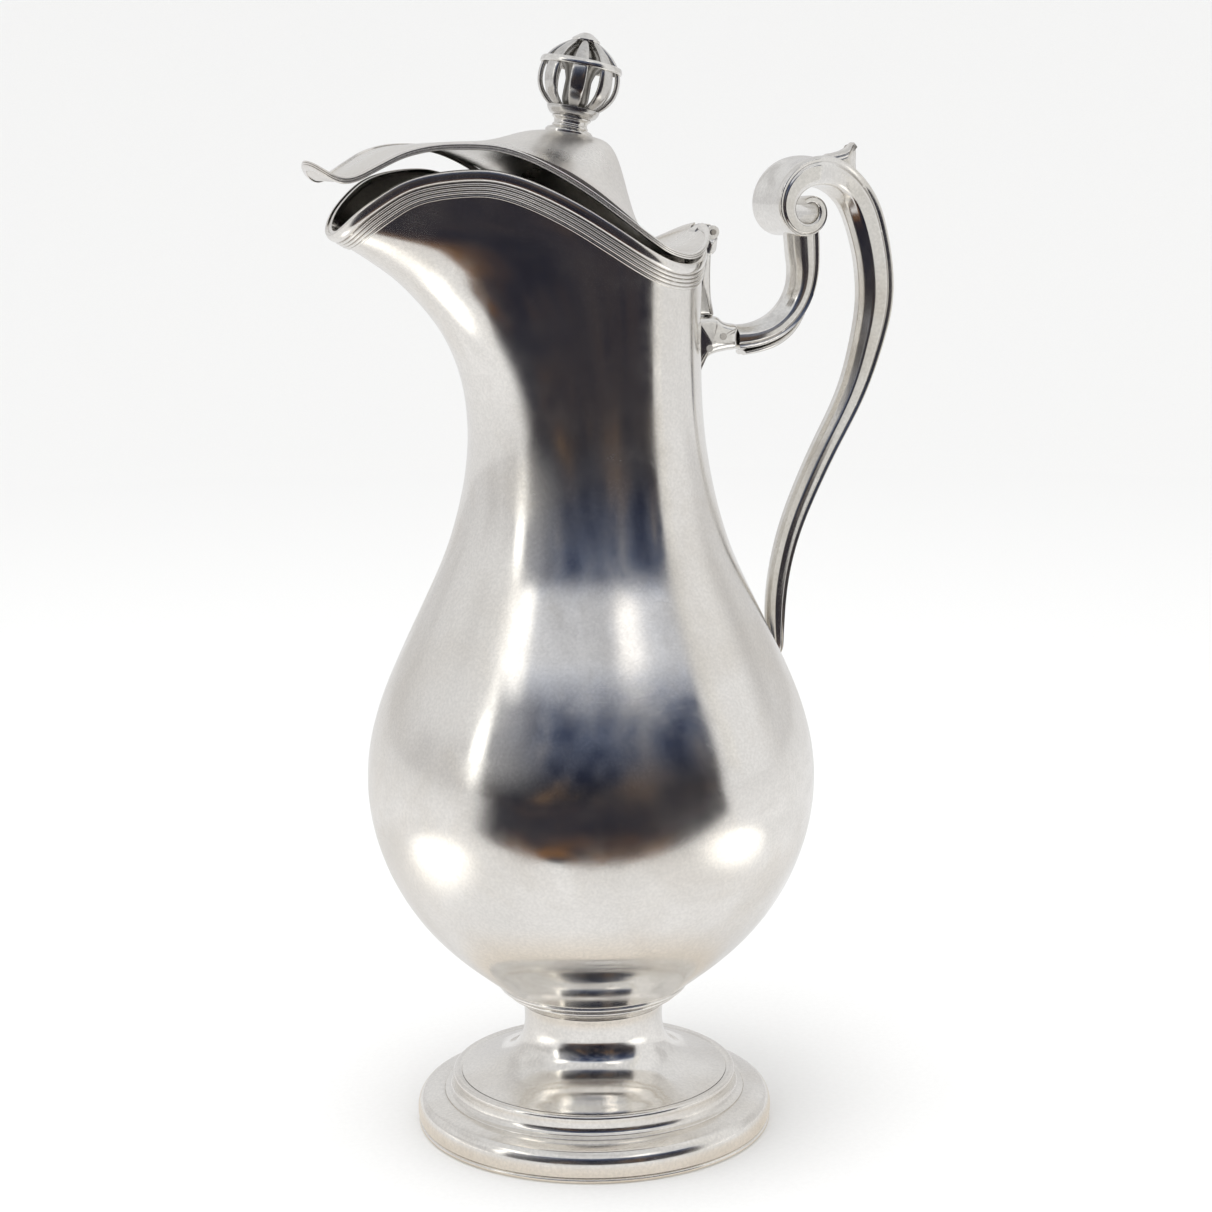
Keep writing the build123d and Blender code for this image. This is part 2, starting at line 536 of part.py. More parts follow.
def rib_inner(p, i):
    a = rib_out[max(i - 1, 0)]
    b = rib_out[min(i + 1, len(rib_out) - 1)]
    tx, tz = b[0] - a[0], b[1] - a[1]
    n = hypot(tx, tz)
    return (p[0] - 1.5 * tz / n, p[1] + 1.5 * tx / n)


rib_in = [rib_inner(p, i) for i, p in enumerate(rib_out)]
N_RIB = 8
RIB_ARC = 15.0
ea = Edge.make_spline([fin.from_local_coords(Vector(r, 0, h)) for r, h in rib_out])
eb = Edge.make_spline([fin.from_local_coords(Vector(r, 0, h)) for r, h in rib_in])
rib_face = Face(Wire([ea, Edge.make_line(ea @ 1, eb @ 1), eb, Edge.make_line(eb @ 0, ea @ 0)]))
fin_axis = Axis(fin.origin, fin.z_dir)
rib0 = Solid.revolve(rib_face, RIB_ARC, fin_axis)
ribs = [rib0.rotate(fin_axis, k * 360.0 / N_RIB - RIB_ARC / 2 + 22.5) for k in range(N_RIB)]
cup_cut = cup
ribs = [max((r - cup_cut).solids(), key=lambda s: s.volume) for r in ribs]
ring = fin_turn([(11.85, 18.5), (12.05, 18.8), (11.85, 20.0), (11.35, 20.4), (10.4, 20.4), (11.2, 18.5)])
all_ribs = ribs[0]
for r in ribs[1:]:
    all_ribs = all_ribs + r
ring = ring - all_ribs
bud = fin_turn([(0, 25.2), (2.6, 25.2), (3.9, 26.0), (4.2, 26.8), (3.4, 27.4), (2.3, 28.2), (1.3, 28.8), (0, 28.9)])
bud = bud - all_ribs
bud = max(bud.solids(), key=lambda s: s.volume)
core = fin_turn([(0, -4.2), (STUD_R, -4.2), (STUD_R, 5.4), (2.4, 5.4), (3.0, 6.6), (4.2, 9.0), (4.5, 12.0), (3.9, 15.0),
                 (2.5, 18.0), (1.5, 20.6), (1.3, 25.2), (0, 25.2)])
hexa = []
for k in range(6):
    a = radians(60 * k)
    hexa.append(fin.from_local_coords(Vector(4.2 * cos(a), 4.2 * sin(a), -3.9)))
nut = Solid.extrude(Face(Wire.make_polygon(hexa, close=True)), seat_dir * 2.4)
nut = nut - Solid.make_cylinder(STUD_R, 12, fin.offset(-8)) - (below_top - below_und)
nut = max(nut.solids(), key=lambda s: s.volume)

hinge_axis = Axis((HINGE_X, 0, HINGE_Z), (0, 1, 0))


def on_lid(name, *solids):
    out = []
    for s in solids:
        out += [q.rotate(hinge_axis, LID_AJAR) for q in s.solids()]
    keep(name, *out)


on_lid("lid_shell", lid_shell)
on_lid("lid_edge_wire", lid_edge)
on_lid("lid_hinge_leaf", leaf)
on_lid("finial_seat", seat)
on_lid("finial_collar", collar)
on_lid("finial_cup", cup)
on_lid("finial_ribs", *ribs)
on_lid("finial_ring", ring)
on_lid("finial_bud", bud)
on_lid("finial_core", core)
on_lid("finial_nut", nut)

os.makedirs("parts", exist_ok=True)
for name, shape in made.items():
    export_step(shape, f"parts/{name}.step")
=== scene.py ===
import bpy
import math
import numpy as np
from mathutils import Matrix, Vector


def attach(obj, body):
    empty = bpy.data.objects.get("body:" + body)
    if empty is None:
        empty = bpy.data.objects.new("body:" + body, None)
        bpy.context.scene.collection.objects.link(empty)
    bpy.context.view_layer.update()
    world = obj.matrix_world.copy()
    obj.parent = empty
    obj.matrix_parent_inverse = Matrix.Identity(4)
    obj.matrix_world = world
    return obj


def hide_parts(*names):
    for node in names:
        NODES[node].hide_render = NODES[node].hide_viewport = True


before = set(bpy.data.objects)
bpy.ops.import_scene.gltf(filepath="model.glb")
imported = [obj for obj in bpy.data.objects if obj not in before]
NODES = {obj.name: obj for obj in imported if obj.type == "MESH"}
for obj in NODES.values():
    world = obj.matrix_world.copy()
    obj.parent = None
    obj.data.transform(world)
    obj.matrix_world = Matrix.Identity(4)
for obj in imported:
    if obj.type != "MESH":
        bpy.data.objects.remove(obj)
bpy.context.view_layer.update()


scene = bpy.context.scene
MM = 0.001

# --------------------------------------------------------------------------
# driving dimensions, the same numbers as the CAD model (millimetres)
# --------------------------------------------------------------------------
WALL = 1.2
FOOT_R, STEP_R, STEP_Z, STEM_R, STEM_TOP = 54.9, 45.6, 14.6, 21.3, 38.5
REED_W, REED_T = 7.0, 1.25
LID_T = 1.0
HINGE_X, HINGE_Z = 39.2, 273.6
BARREL_R, PIN_R, PIN_CLEAR = 2.0, 0.85, 0.05
KN_MID, KN_OUT, KN_GAP = 2.2, 4.8, 0.3
LID_AJAR = 3.5
FINIAL_X, FINIAL_Z, FINIAL_LEAN = -6.6, 300.6, 8.8
ORB_R = 12.05
SPOUT_EXP = 4.6
EYE_X, EYE_Z = 69.0, 279.5
VOLUTE_W = 21.0
HANDLE_SEAM = 272.0


# --------------------------------------------------------------------------
# smooth tables
# --------------------------------------------------------------------------
def hermite(xs, ys, x):
    xs = np.asarray(xs, float)
    ys = np.asarray(ys, float)
    h = np.diff(xs)
    d = np.diff(ys) / h
    m = np.zeros(len(xs))
    m[1:-1] = (d[:-1] * h[1:] + d[1:] * h[:-1]) / (h[1:] + h[:-1])
    m[0] = d[0] + (d[0] - m[1]) * 0.5
    m[-1] = d[-1] + (d[-1] - m[-2]) * 0.5
    x = np.asarray(x, float)
    i = np.clip(np.searchsorted(xs, x) - 1, 0, len(xs) - 2)
    t = (x - xs[i]) / h[i]
    out = ((1 + 2 * t) * (1 - t) ** 2 * ys[i] + t * (1 - t) ** 2 * h[i] * m[i]
           + t * t * (3 - 2 * t) * ys[i + 1] + t * t * (t - 1) * h[i] * m[i + 1])
    out = np.where(x < xs[0], ys[0] + (x - xs[0]) * m[0], out)
    return np.where(x > xs[-1], ys[-1] + (x - xs[-1]) * m[-1], out)


def smooth_table(xs, ys, sigma, step=0.05):
    """The same table as the CAD's, with its curvature steps smoothed away."""
    lo, hi = xs[0] - 2.0, xs[-1] + 2.0
    pad = 4 * sigma
    grid = np.arange(lo - pad, hi + pad + step, step)
    v = hermite(xs, ys, grid)
    n = int(pad / step)
    k = np.exp(-0.5 * (np.arange(-n, n + 1) * step / sigma) ** 2)
    k /= k.sum()
    for _ in range(1):
        v = np.convolve(v, k, mode="same")
    keep = (grid >= lo) & (grid <= hi)
    g, w = grid[keep], v[keep]
    return lambda x: np.interp(x, g, w)


body_r = smooth_table(
    [38.5, 42, 48, 55, 64, 76, 90, 105, 120, 135, 150, 165, 180, 195, 210, 222, 235, 250, 262, 300],
    [22.3, 25.6, 33.2, 41.9, 50.8, 59.1, 65.1, 68.0, 67.4, 63.4, 56.9, 49.7, 42.9, 38.4, 35.6, 34.4, 34.0, 34.0, 34.3,
     35.6], 3.2)
spout_reach = smooth_table(
    [30, 180, 196, 204, 212, 221, 230, 239, 248, 257, 263, 266, 270.5, 273.3, 276, 282, 300],
    [0, 0, 0.0, 0.15, 0.6, 1.7, 3.5, 6.6, 11.6, 19.1, 25.3, 29.6, 36.3, 40.9, 43.6, 46.4, 48.4], 2.0)
rim_z = smooth_table(
    [-84, -80, -77.4, -74.2, -70.7, -67.7, -63, -58, -51.5, -45, -39, -34.7, -30.4, -22.9, -13.8, -4.3, 5.9, 11.9, 17.2,
     22, 25.6, 30, 34, 38],
    [266, 271.6, 275.8, 280.3, 283.6, 286.0, 289.2, 291.1, 292.3, 292.8, 292.6, 291.7, 290.3, 287.0, 282.1, 276.2,
     270.0, 267.0, 265.6, 265.3, 265.9, 267.8, 270.8, 274.5], 1.6)
lid_z = smooth_table(
    [-90, -85.2, -82, -79.6, -77.6, -75, -71.5, -68.6, -64.2, -59.4, -54.5, -49.7, -45, -39, -34.7, -30.4, -22.9, -13.8,
     -4.3, 5.9, 11.9, 17.2, 22, 25.6, 30, 34, 36.5, 40],
    [290.2, 286.3, 283.7, 282.5, 282.3, 283.2, 285.4, 287.2, 289.8, 291.6, 292.7, 293.2, 293.4, 293.1, 292.2, 290.8,
     287.5, 282.6, 276.7, 270.5, 267.5, 266.1, 265.8, 266.5, 268.7, 272.0, 274.6, 278.6], 1.3)


# --------------------------------------------------------------------------
# mesh helpers
# --------------------------------------------------------------------------
def new_object(name, verts, faces, sharp=None):
    me = bpy.data.meshes.new(name)
    me.from_pydata([tuple(v) for v in verts], [], [tuple(int(i) for i in f) for f in faces])
    me.validate()
    me.polygons.foreach_set("use_smooth", [True] * len(me.polygons))
    if sharp:
        me.set_sharp_from_angle(angle=math.radians(sharp))
    me.update()
    o = bpy.data.objects.new(name, me)
    scene.collection.objects.link(o)
    return o


def grid_faces(ni, nj, closed_i=False, closed_j=True, start=0, flip=False):
    ii = np.arange(ni if closed_i else ni - 1)
    jj = np.arange(nj if closed_j else nj - 1)
    I, J = np.meshgrid(ii, jj, indexing="ij")
    I2, J2 = (I + 1) % ni, (J + 1) % nj
    a, b, c, d = I * nj + J, I2 * nj + J, I2 * nj + J2, I * nj + J2
    q = np.stack([a, b, c, d] if not flip else [a, d, c, b], -1).reshape(-1, 4) + start
    return q


def outward(o, point=None):
    """Consistent outward normals."""
    import bmesh
    bm = bmesh.new()
    bm.from_mesh(o.data)
    bmesh.ops.remove_doubles(bm, verts=bm.verts, dist=1e-7)
    bmesh.ops.recalc_face_normals(bm, faces=bm.faces)
    bm.to_mesh(o.data)
    bm.free()
    o.data.polygons.foreach_set("use_smooth", [True] * len(o.data.polygons))
    o.data.update()
    return o


def turned(name, profile, n=256, axis_o=(0, 0, 0), axis_d=(0, 0, 1), closed=True, sharp=None):
    """A turned solid from a closed (radius, height) outline; radius 0 ends make poles."""
    prof = np.asarray(profile, float)
    d = np.asarray(axis_d, float)
    d /= np.linalg.norm(d)
    u = np.cross((0, 1, 0), d)
    u /= np.linalg.norm(u)
    v = np.cross(d, u)
    a = np.linspace(0, 2 * np.pi, n, endpoint=False)
    ring = np.cos(a)[:, None] * u + np.sin(a)[:, None] * v
    P = (np.asarray(axis_o, float) + prof[:, 0, None, None] * ring[None] + prof[:, 1, None, None] * d)
    o = new_object(name, P.reshape(-1, 3) * MM, grid_faces(len(prof), n, closed_i=closed), None)
    outward(o)
    if sharp:
        o.data.set_sharp_from_angle(angle=math.radians(sharp))
    return o


def spline_pts(pts, n, closed=False):
    """Smooth curve (Catmull-Rom, centripetal) through the points, evenly sampled."""
    P = np.asarray(pts, float)
    if closed:
        P = np.vstack([P[-1], P, P[0], P[1]])
    else:
        P = np.vstack([2 * P[0] - P[1], P, 2 * P[-1] - P[-2]])
    seg = []
    for i in range(1, len(P) - 2):
        p0, p1, p2, p3 = P[i - 1], P[i], P[i + 1], P[i + 2]
        t0 = 0.0
        t1 = t0 + max(np.linalg.norm(p1 - p0), 1e-6) ** 0.5
        t2 = t1 + max(np.linalg.norm(p2 - p1), 1e-6) ** 0.5
        t3 = t2 + max(np.linalg.norm(p3 - p2), 1e-6) ** 0.5
        t = np.linspace(t1, t2, 24, endpoint=False)[:, None]
        A1 = (t1 - t) / (t1 - t0) * p0 + (t - t0) / (t1 - t0) * p1
        A2 = (t2 - t) / (t2 - t1) * p1 + (t - t1) / (t2 - t1) * p2
        A3 = (t3 - t) / (t3 - t2) * p2 + (t - t2) / (t3 - t2) * p3
        B1 = (t2 - t) / (t2 - t0) * A1 + (t - t0) / (t2 - t0) * A2
        B2 = (t3 - t) / (t3 - t1) * A2 + (t - t1) / (t3 - t1) * A3
        seg.append((t2 - t) / (t2 - t1) * B1 + (t - t1) / (t2 - t1) * B2)
    C = np.vstack(seg + [P[-2][None]])
    s = np.r_[0, np.cumsum(np.linalg.norm(np.diff(C, axis=0), axis=1))]
    u = np.linspace(0, s[-1], n, endpoint=not closed)
    return np.stack([np.interp(u, s, C[:, k]) for k in range(C.shape[1])], 1)


def gauss1(a, sigma_n, closed=False):
    """Smooth an array of samples along axis 0."""
    n = int(4 * sigma_n) + 1
    k = np.exp(-0.5 * (np.arange(-n, n + 1) / sigma_n) ** 2)
    k /= k.sum()
    a = np.asarray(a, float)
    if closed:
        p = np.concatenate([a[-n:], a, a[:n]])
    else:
        first = 2 * a[:1] - a[1:n + 1][::-1]
        last = 2 * a[-1:] - a[-n - 1:-1][::-1]
        p = np.concatenate([first, a, last])
    out = np.stack([np.convolve(p[:, c], k, mode="valid") for c in range(a.shape[1])], 1)
    return out


def rounded(profile, r=0.4, seg=4):
    """Round the corners of a closed outline."""
    P = np.asarray(profile, float)
    n = len(P)
    out = []
    for i in range(n):
        a, b, c = P[i - 1], P[i], P[(i + 1) % n]
        la, lc = np.linalg.norm(a - b), np.linalg.norm(c - b)
        k = min(r, 0.45 * la, 0.45 * lc)
        p0, p1 = b + (a - b) / la * k, b + (c - b) / lc * k
        for j in range(seg + 1):
            t = j / seg
            out.append((1 - t) ** 2 * p0 + 2 * t * (1 - t) * b + t * t * p1)
    return np.array(out)


# --------------------------------------------------------------------------
# body surface
# --------------------------------------------------------------------------
def surf(z, t):
    r = body_r(z)
    e = np.maximum(spout_reach(z), 0.0)
    g = ((1 - np.cos(t)) / 2) ** SPOUT_EXP
    return np.stack([r * np.cos(t) - e * g, r * np.sin(t), z + 0 * t], -1)


def surf_normal(z, t):
    e = 1e-3
    dz = surf(z + 0.1, t) - surf(z - 0.1, t)
    dt = surf(z, t + e) - surf(z, t - e)
    n = np.cross(dt, dz)
    return n / np.linalg.norm(n, axis=-1, keepdims=True)


def t_values(n):
    k = np.linspace(0, 2 * np.pi, n, endpoint=False)
    return k + 0.25 * np.sin(k)


def rim_level(t):
    lo, hi = np.full_like(t, 250.0), np.full_like(t, 297.0)
    for _ in range(60):
        mid = (lo + hi) / 2
        f = mid - rim_z(surf(mid, t)[..., 0])
        lo, hi = np.where(f < 0, mid, lo), np.where(f < 0, hi, mid)
    return (lo + hi) / 2


def build_body():
    nt = 400
    t = t_values(nt)
    zr = rim_level(t)
    # outer wall
    nv = 300
    v = np.linspace(0, 1, nv)
    z0 = STEM_TOP
    Z = z0 + (zr[None, :] - z0) * v[:, None]
    T = np.broadcast_to(t[None, :], Z.shape)
    outer = surf(Z, T)
    # rolled lip over the sheet's edge
    N = surf_normal(Z, T)
    top, ntop = outer[-1], N[-1]
    lip = []
    for a in np.radians([30, 60, 90, 120, 150]):
        lip.append(top - ntop * (WALL / 2) * (1 - np.cos(a)) + np.array([0, 0, 1.0]) * 0.14 * np.sin(a))
    # inner wall, from the rim down
    zi0 = 41.0
    Zi = zi0 + (zr[None, :] - zi0) * v[::-1, None][::2]
    Ti = np.broadcast_to(t[None, :], Zi.shape)
    inner = surf(Zi, Ti) - surf_normal(Zi, Ti) * WALL
    for ring_ in lip + [inner]:
        ring_[..., 2] = np.minimum(ring_[..., 2], rim_z(ring_[..., 0]) + 0.12)
    # closed bottoms
    def disc(ring, z, k):
        out = []
        for s in k:
            p = ring.copy()
            p[:, 0] *= s
            p[:, 1] *= s
            p[:, 2] = z
            out.append(p)
        return out
    bot_out = disc(outer[0], outer[0][0, 2], (0.002, 0.5, 0.9))
    bot_in = disc(inner[-1], inner[-1][:, 2].mean() - 0.6, (0.9, 0.5, 0.002))
    P = np.stack(bot_out + list(outer) + lip + list(inner) + bot_in)
    F = grid_faces(len(P), nt)
    o = new_object("pitcher_body", P.reshape(-1, 3) * MM, F)
    return outward(o)


# reeded moulding under the rim ---------------------------------------------
REED_PROFILE = [(-0.25, 0.02), (-0.45, 0.3), (-0.42, 0.7), (-0.1, 1.1), (0.5, 1.3), (1.2, 1.35), (1.9, 1.25), (2.45, 1.02),
                (2.8, 0.72), (2.95, 0.48), (3.08, 0.46), (3.25, 0.76), (3.55, 0.93), (3.85, 0.84), (4.05, 0.58), (4.12, 0.42),
                (4.2, 0.42), (4.38, 0.7), (4.66, 0.85), (4.94, 0.75), (5.14, 0.5), (5.21, 0.36), (5.3, 0.36), (5.46, 0.62),
                (5.74, 0.76), (6.02, 0.67), (6.24, 0.44), (6.32, 0.3), (6.45, 0.3), (6.6, 0.46), (6.85, 0.5), (7.1, 0.42),
                (7.3, 0.02)]


def along_surface(R, D, s, z, t):
    """Point of the body reached by going s along D from rim point R."""
    P = R + D * s
    zz, tt = z - s * 0.8, t.copy()
    for _ in range(8):
        S = surf(zz, tt)
        Sz = (surf(zz + 0.05, tt) - surf(zz - 0.05, tt)) / 0.1
        St = (surf(zz, tt + 1e-3) - surf(zz, tt - 1e-3)) / 2e-3
        d = P - S
        a, b, c = (Sz * Sz).sum(-1), (Sz * St).sum(-1), (St * St).sum(-1)
        p, q = (d * Sz).sum(-1), (d * St).sum(-1)
        det = a * c - b * b
        zz = zz + np.clip((p * c - q * b) / det, -3, 3)
        tt = tt + np.clip((q * a - p * b) / det, -0.2, 0.2)
    return surf(zz, tt), surf_normal(zz, tt)


def build_reeds():
    nt = 720
    t = t_values(nt)
    z = rim_level(t)
    R = surf(z, t)
    R = gauss1(R, 2.0, closed=True)
    Tn = np.roll(R, -1, 0) - np.roll(R, 1, 0)
    Tn /= np.linalg.norm(Tn, axis=1, keepdims=True)
    N = surf_normal(z, t)
    D = np.cross(N, Tn)
    D /= np.linalg.norm(D, axis=1, keepdims=True)
    D *= np.where(D[:, 2:3] > 0, -1, 1)
    rows = []
    prof = spline_pts(REED_PROFILE, 132)
    for s, h in prof:
        P, n = along_surface(R, D, s, z, t)
        rows.append(P + n * h)
    rows = np.stack(rows)
    rows = np.stack([gauss1(r, 1.6, closed=True) for r in rows])
    o = new_object("rim_reeds", rows.reshape(-1, 3) * MM, grid_faces(len(rows), nt, closed_i=True))
    return outward(o)


# --------------------------------------------------------------------------
# foot
# --------------------------------------------------------------------------
def build_foot():
    out = {}
    stem_o = spline_pts([(21.9, 38.4), (21.5, 36.0), (21.35, 33.5), (21.5, 30.6), (22.5, 26.6), (25.4, 22.6), (30.0, 19.5),
                         (35.8, 17.5), (41.2, 16.4)], 90)
    stem_i = spline_pts([(39.9, 15.2), (35.2, 16.1), (29.4, 18.3), (24.5, 21.8), (21.3, 26.2), (20.1, 31.0), (20.2, 34.5),
                         (20.7, 38.4)], 50)
    out["foot_stem"] = turned("foot_stem_spun", np.vstack([stem_o, stem_i]), 320, sharp=50)
    step = [(39.8, 15.25), (41.0, 16.2), (42.2, 16.75), (43.2, 16.7), (43.8, 16.2), (43.95, 15.5), (43.9, 14.5), (44.0, 13.0),
            (44.3, 11.8), (45.0, 11.0), (46.0, 10.7), (46.6, 10.6), (46.6, 9.3), (44.0, 9.3), (43.3, 10.6), (42.9, 13.4),
            (42.3, 14.8), (41.0, 15.05)]
    out["foot_step"] = turned("foot_step_spun", rounded(step, 0.5, 4), 320, sharp=50)
    band = [(46.55, 9.1), (46.6, 10.35), (47.2, 10.5), (49.6, 10.2), (52.0, 9.7), (53.0, 9.4), (53.5, 8.95), (53.9, 8.5),
            (54.5, 7.6), (54.9, 6.2), (55.05, 4.8), (54.95, 3.2), (54.6, 1.95), (54.2, 1.62), (52.9, 1.62), (53.2, 4.6),
            (52.9, 6.7), (52.0, 8.0), (49.6, 8.9)]
    out["foot_band"] = turned("foot_band_spun", rounded(band, 0.6, 5), 360, sharp=50)
    wire = [(51.2, 0.0), (53.9, 0.0), (54.55, 0.35), (54.85, 0.8), (54.75, 1.3), (54.3, 1.6), (51.2, 1.6)]
    out["foot_base_wire"] = turned("foot_wire_ring", rounded(wire, 0.25, 3), 320, sharp=60)
    # two fine beads on the flare just above the stem
    for name, zc in (("stem_collar_upper", 44.2), ("stem_collar_lower", 42.1)):
        rs = float(body_r(zc))
        sl = float(body_r(zc + 0.5) - body_r(zc - 0.5))
        m = math.hypot(1, sl)
        nx, nz, tx, tz = 1 / m, -sl / m, sl / m, 1 / m
        aa = np.linspace(0, 2 * np.pi, 20, endpoint=False)
        prof = [(rs + nx * (0.1 + 0.62 * math.cos(a)) + tx * 0.68 * math.sin(a),
                 zc + nz * (0.1 + 0.62 * math.cos(a)) + tz * 0.68 * math.sin(a)) for a in aa]
        out[name] = turned(name + "_bead", prof, 256)
    return out


# --------------------------------------------------------------------------
# handle: swept sections in the XZ plane
# --------------------------------------------------------------------------
def sweep(name, path, section, cap=True, smooth=0.0):
    """path rows: x, z, thickness, width. section: closed unit outline (u across Y, v outward), both -1..1."""
    path = np.asarray(path, float)
    if smooth:
        path = gauss1(path, smooth)
    T = np.gradient(path[:, :2], axis=0)
    T /= np.linalg.norm(T, axis=1, keepdims=True)
    Nn = np.stack([-T[:, 1], T[:, 0]], 1)          # to the left of the direction of travel
    sec = [section(i / (len(path) - 1)) if callable(section) else section for i in range(len(path))]
    rows = []
    for i, (x, z, th, w) in enumerate(path):
        s = np.asarray(sec[i])
        u, v = s[:, 0] * w / 2, s[:, 1] * th / 2
        rows.append(np.stack([x + Nn[i, 0] * v, u, z + Nn[i, 1] * v], 1))
    P = np.stack(rows)
    n = P.shape[1]
    F = [tuple(f) for f in grid_faces(len(P), n)]
    V = P.reshape(-1, 3)
    if cap:
        F.append(tuple(range(n - 1, -1, -1)))
        F.append(tuple((len(P) - 1) * n + k for k in range(n)))
    o = new_object(name, V * MM, F)
    outward(o)
    o.data.set_sharp_from_angle(angle=math.radians(55))
    return o


def mirrored(half, n, r):
    """Closed outline from its near half (from top middle to bottom middle), corners softened."""
    full = list(half) + [(-u, v) for u, v in half[-2:0:-1]]
    P = rounded(full, r, 4)
    P = np.vstack([P, P[:1]])
    q = np.r_[0, np.cumsum(np.linalg.norm(np.diff(P, axis=0), axis=1))]
    w = np.linspace(0, q[-1], n, endpoint=False)
    return np.stack([np.interp(w, q, P[:, k]) for k in range(2)], 1)


# broad chamfer towards the fingers, side face, thin ridge, groove and sharp-edged spine
GRIP_SECTION = mirrored(
    [(0.0, 1.0), (0.45, 0.975), (0.78, 0.93), (0.91, 0.89), (0.86, 0.74), (0.79, 0.58), (0.80, 0.52), (0.92, 0.47),
     (0.99, 0.40), (1.0, 0.32), (0.97, 0.05), (0.91, -0.28), (0.86, -0.40), (0.52, -0.74), (0.20, -0.985), (0.0, -1.0)], 144, 0.05)
GRIP = [(91.6, 276.6, 11.2, 12.0), (93.3, 271.0, 11.2, 12.0), (94.6, 265.5, 11.0, 12.0), (95.5, 258.9, 11.0, 12.0),
        (95.6, 249.6, 10.6, 11.8), (94.1, 243.0, 9.8, 11.6), (91.7, 234.3, 8.8, 11.2), (88.6, 225.2, 7.9, 10.7),
        (85.0, 217.8, 7.3, 10.3), (78.8, 207.1, 7.0, 9.8), (72.6, 195.0, 6.7, 9.2), (67.2, 182.9, 6.2, 8.6),
        (63.6, 170.6, 5.8, 8.2), (62.0, 160.0, 5.7, 8.0), (61.7, 153.0, 5.4, 7.9), (62.0, 148.5, 4.8, 7.6), (62.3, 145.6, 4.2, 7.2),
        (62.3, 143.4, 3.2, 6.4), (61.9, 141.8, 1.8, 4.8)]
VOL_DEG = [-26, -15, 0, 30, 60, 90, 120, 150, 180, 210, 240, 270, 300, 330, 360, 390, 420, 450, 480]
VOL_OUT = [32.6, 30.2, 27.0, 21.9, 18.2, 15.3, 12.9, 11.2, 10.1, 9.25, 8.5, 7.8, 7.15, 6.6, 6.1, 5.6, 5.1, 4.6, 4.1]
VOL_THICK = [12.4, 12.0, 11.3, 10.2, 9.4, 8.6, 7.6, 6.6, 5.8, 5.2, 4.6, 4.1, 3.7, 3.3, 3.0, 2.7, 2.5, 2.3, 2.1]


# one flowing band: scroll first, then the grip down to the belly
def handle_path(n=900):
    rows = []
    for a in np.arange(480, -1, -7.5):
        ro = float(hermite(VOL_DEG, VOL_OUT, a))
        th = float(hermite(VOL_DEG, VOL_THICK, a))
        rm = ro - th / 2
        x, z = EYE_X + rm * math.cos(math.radians(a)), EYE_Z + rm * math.sin(math.radians(a))
        w = float(np.interp(a, [0, 15, 30, 45, 60, 75], [12.2, 12.8, 14.4, 16.6, 19.0, 21.0]))
        rows.append((x, z, th, w, a))
    for g in GRIP[1:]:
        rows.append((*g, 0.0))
    rows = np.array(rows)
    s = np.r_[0, np.cumsum(np.linalg.norm(np.diff(rows[:, :2], axis=0), axis=1))]
    u = np.linspace(0, s[-1], n)
    C = np.stack([hermite(s, rows[:, k], u) for k in range(5)], 1)
    fine, broad = gauss1(C, 5.0), gauss1(C, 20.0)
    last = float(u[int(np.where(C[:, 4] > 0.5)[0][-1])])
    w = np.clip((u - last - 6.0) / 26.0, 0, 1) * np.clip((u[-1] - u) / 14.0, 0, 1)
    w = (w * w * (3 - 2 * w))[:, None]
    return fine * (1 - w) + broad * w, u


# section of the scroll: flat sides, a hollow channel between two soft ridges outside
SCROLL_SECTION = mirrored(
    [(0.0, 0.78), (0.30, 0.82), (0.55, 0.92), (0.72, 0.99), (0.86, 0.97), (0.955, 0.84), (0.95, 0.72), (0.93, 0.62),
     (0.95, 0.52), (0.985, 0.40), (0.985, 0.0), (0.97, -0.55), (0.93, -0.84), (0.84, -0.97), (0.68, -1.0), (0.0, -1.0)], 144, 0.06)


def build_handle():
    C, u = handle_path()
    ang = C[:, 4]
    mix = np.clip((ang - 5) / 70.0, 0, 1)
    mix = mix * mix * (3 - 2 * mix)
    secs = [(1 - m) * GRIP_SECTION + m * SCROLL_SECTION for m in mix]
    k = int(np.argmax((C[:, 1] < HANDLE_SEAM) & (C[:, 0] > 85)))
    a, b = slice(0, k + 1), slice(k, len(C))
    # the lower end stops just inside the leaf plate on the belly
    vol = sweep("handle_scroll", C[a, :4], lambda f: secs[int(round(f * k))])
    nb = len(C) - 1 - k
    grip = sweep("handle_bow", C[b, :4], lambda f: secs[k + int(round(f * nb))])
    return vol, grip


ARM = [(48.35, 241.8, 7.4, 9.0), (54.6, 242.4, 7.2, 11.0), (61.0, 244.8, 7.2, 12.0), (66.6, 249.8, 7.3, 12.0),
       (69.8, 256.0, 7.6, 12.0), (70.7, 262.0, 8.4, 12.0), (70.5, 267.0, 9.2, 12.0), (70.1, 273.2, 9.6, 12.0)]
LEAF = [(50.6, 237.0, 1.5, 7.0), (56.0, 238.1, 2.0, 10.0), (61.8, 240.2, 2.2, 11.0), (66.6, 243.6, 1.8, 10.0),
        (70.6, 248.4, 1.2, 7.0)]
ARM_SECTION = mirrored(
    [(0.0, 1.0), (0.22, 0.985), (0.56, 0.72), (0.88, 0.38), (0.93, 0.26), (0.98, 0.0), (1.0, -0.34), (0.97, -0.42),
     (0.86, -0.48), (0.83, -0.56), (0.88, -0.74), (0.93, -0.88), (0.80, -0.95), (0.40, -0.985), (0.0, -1.0)], 120, 0.05)


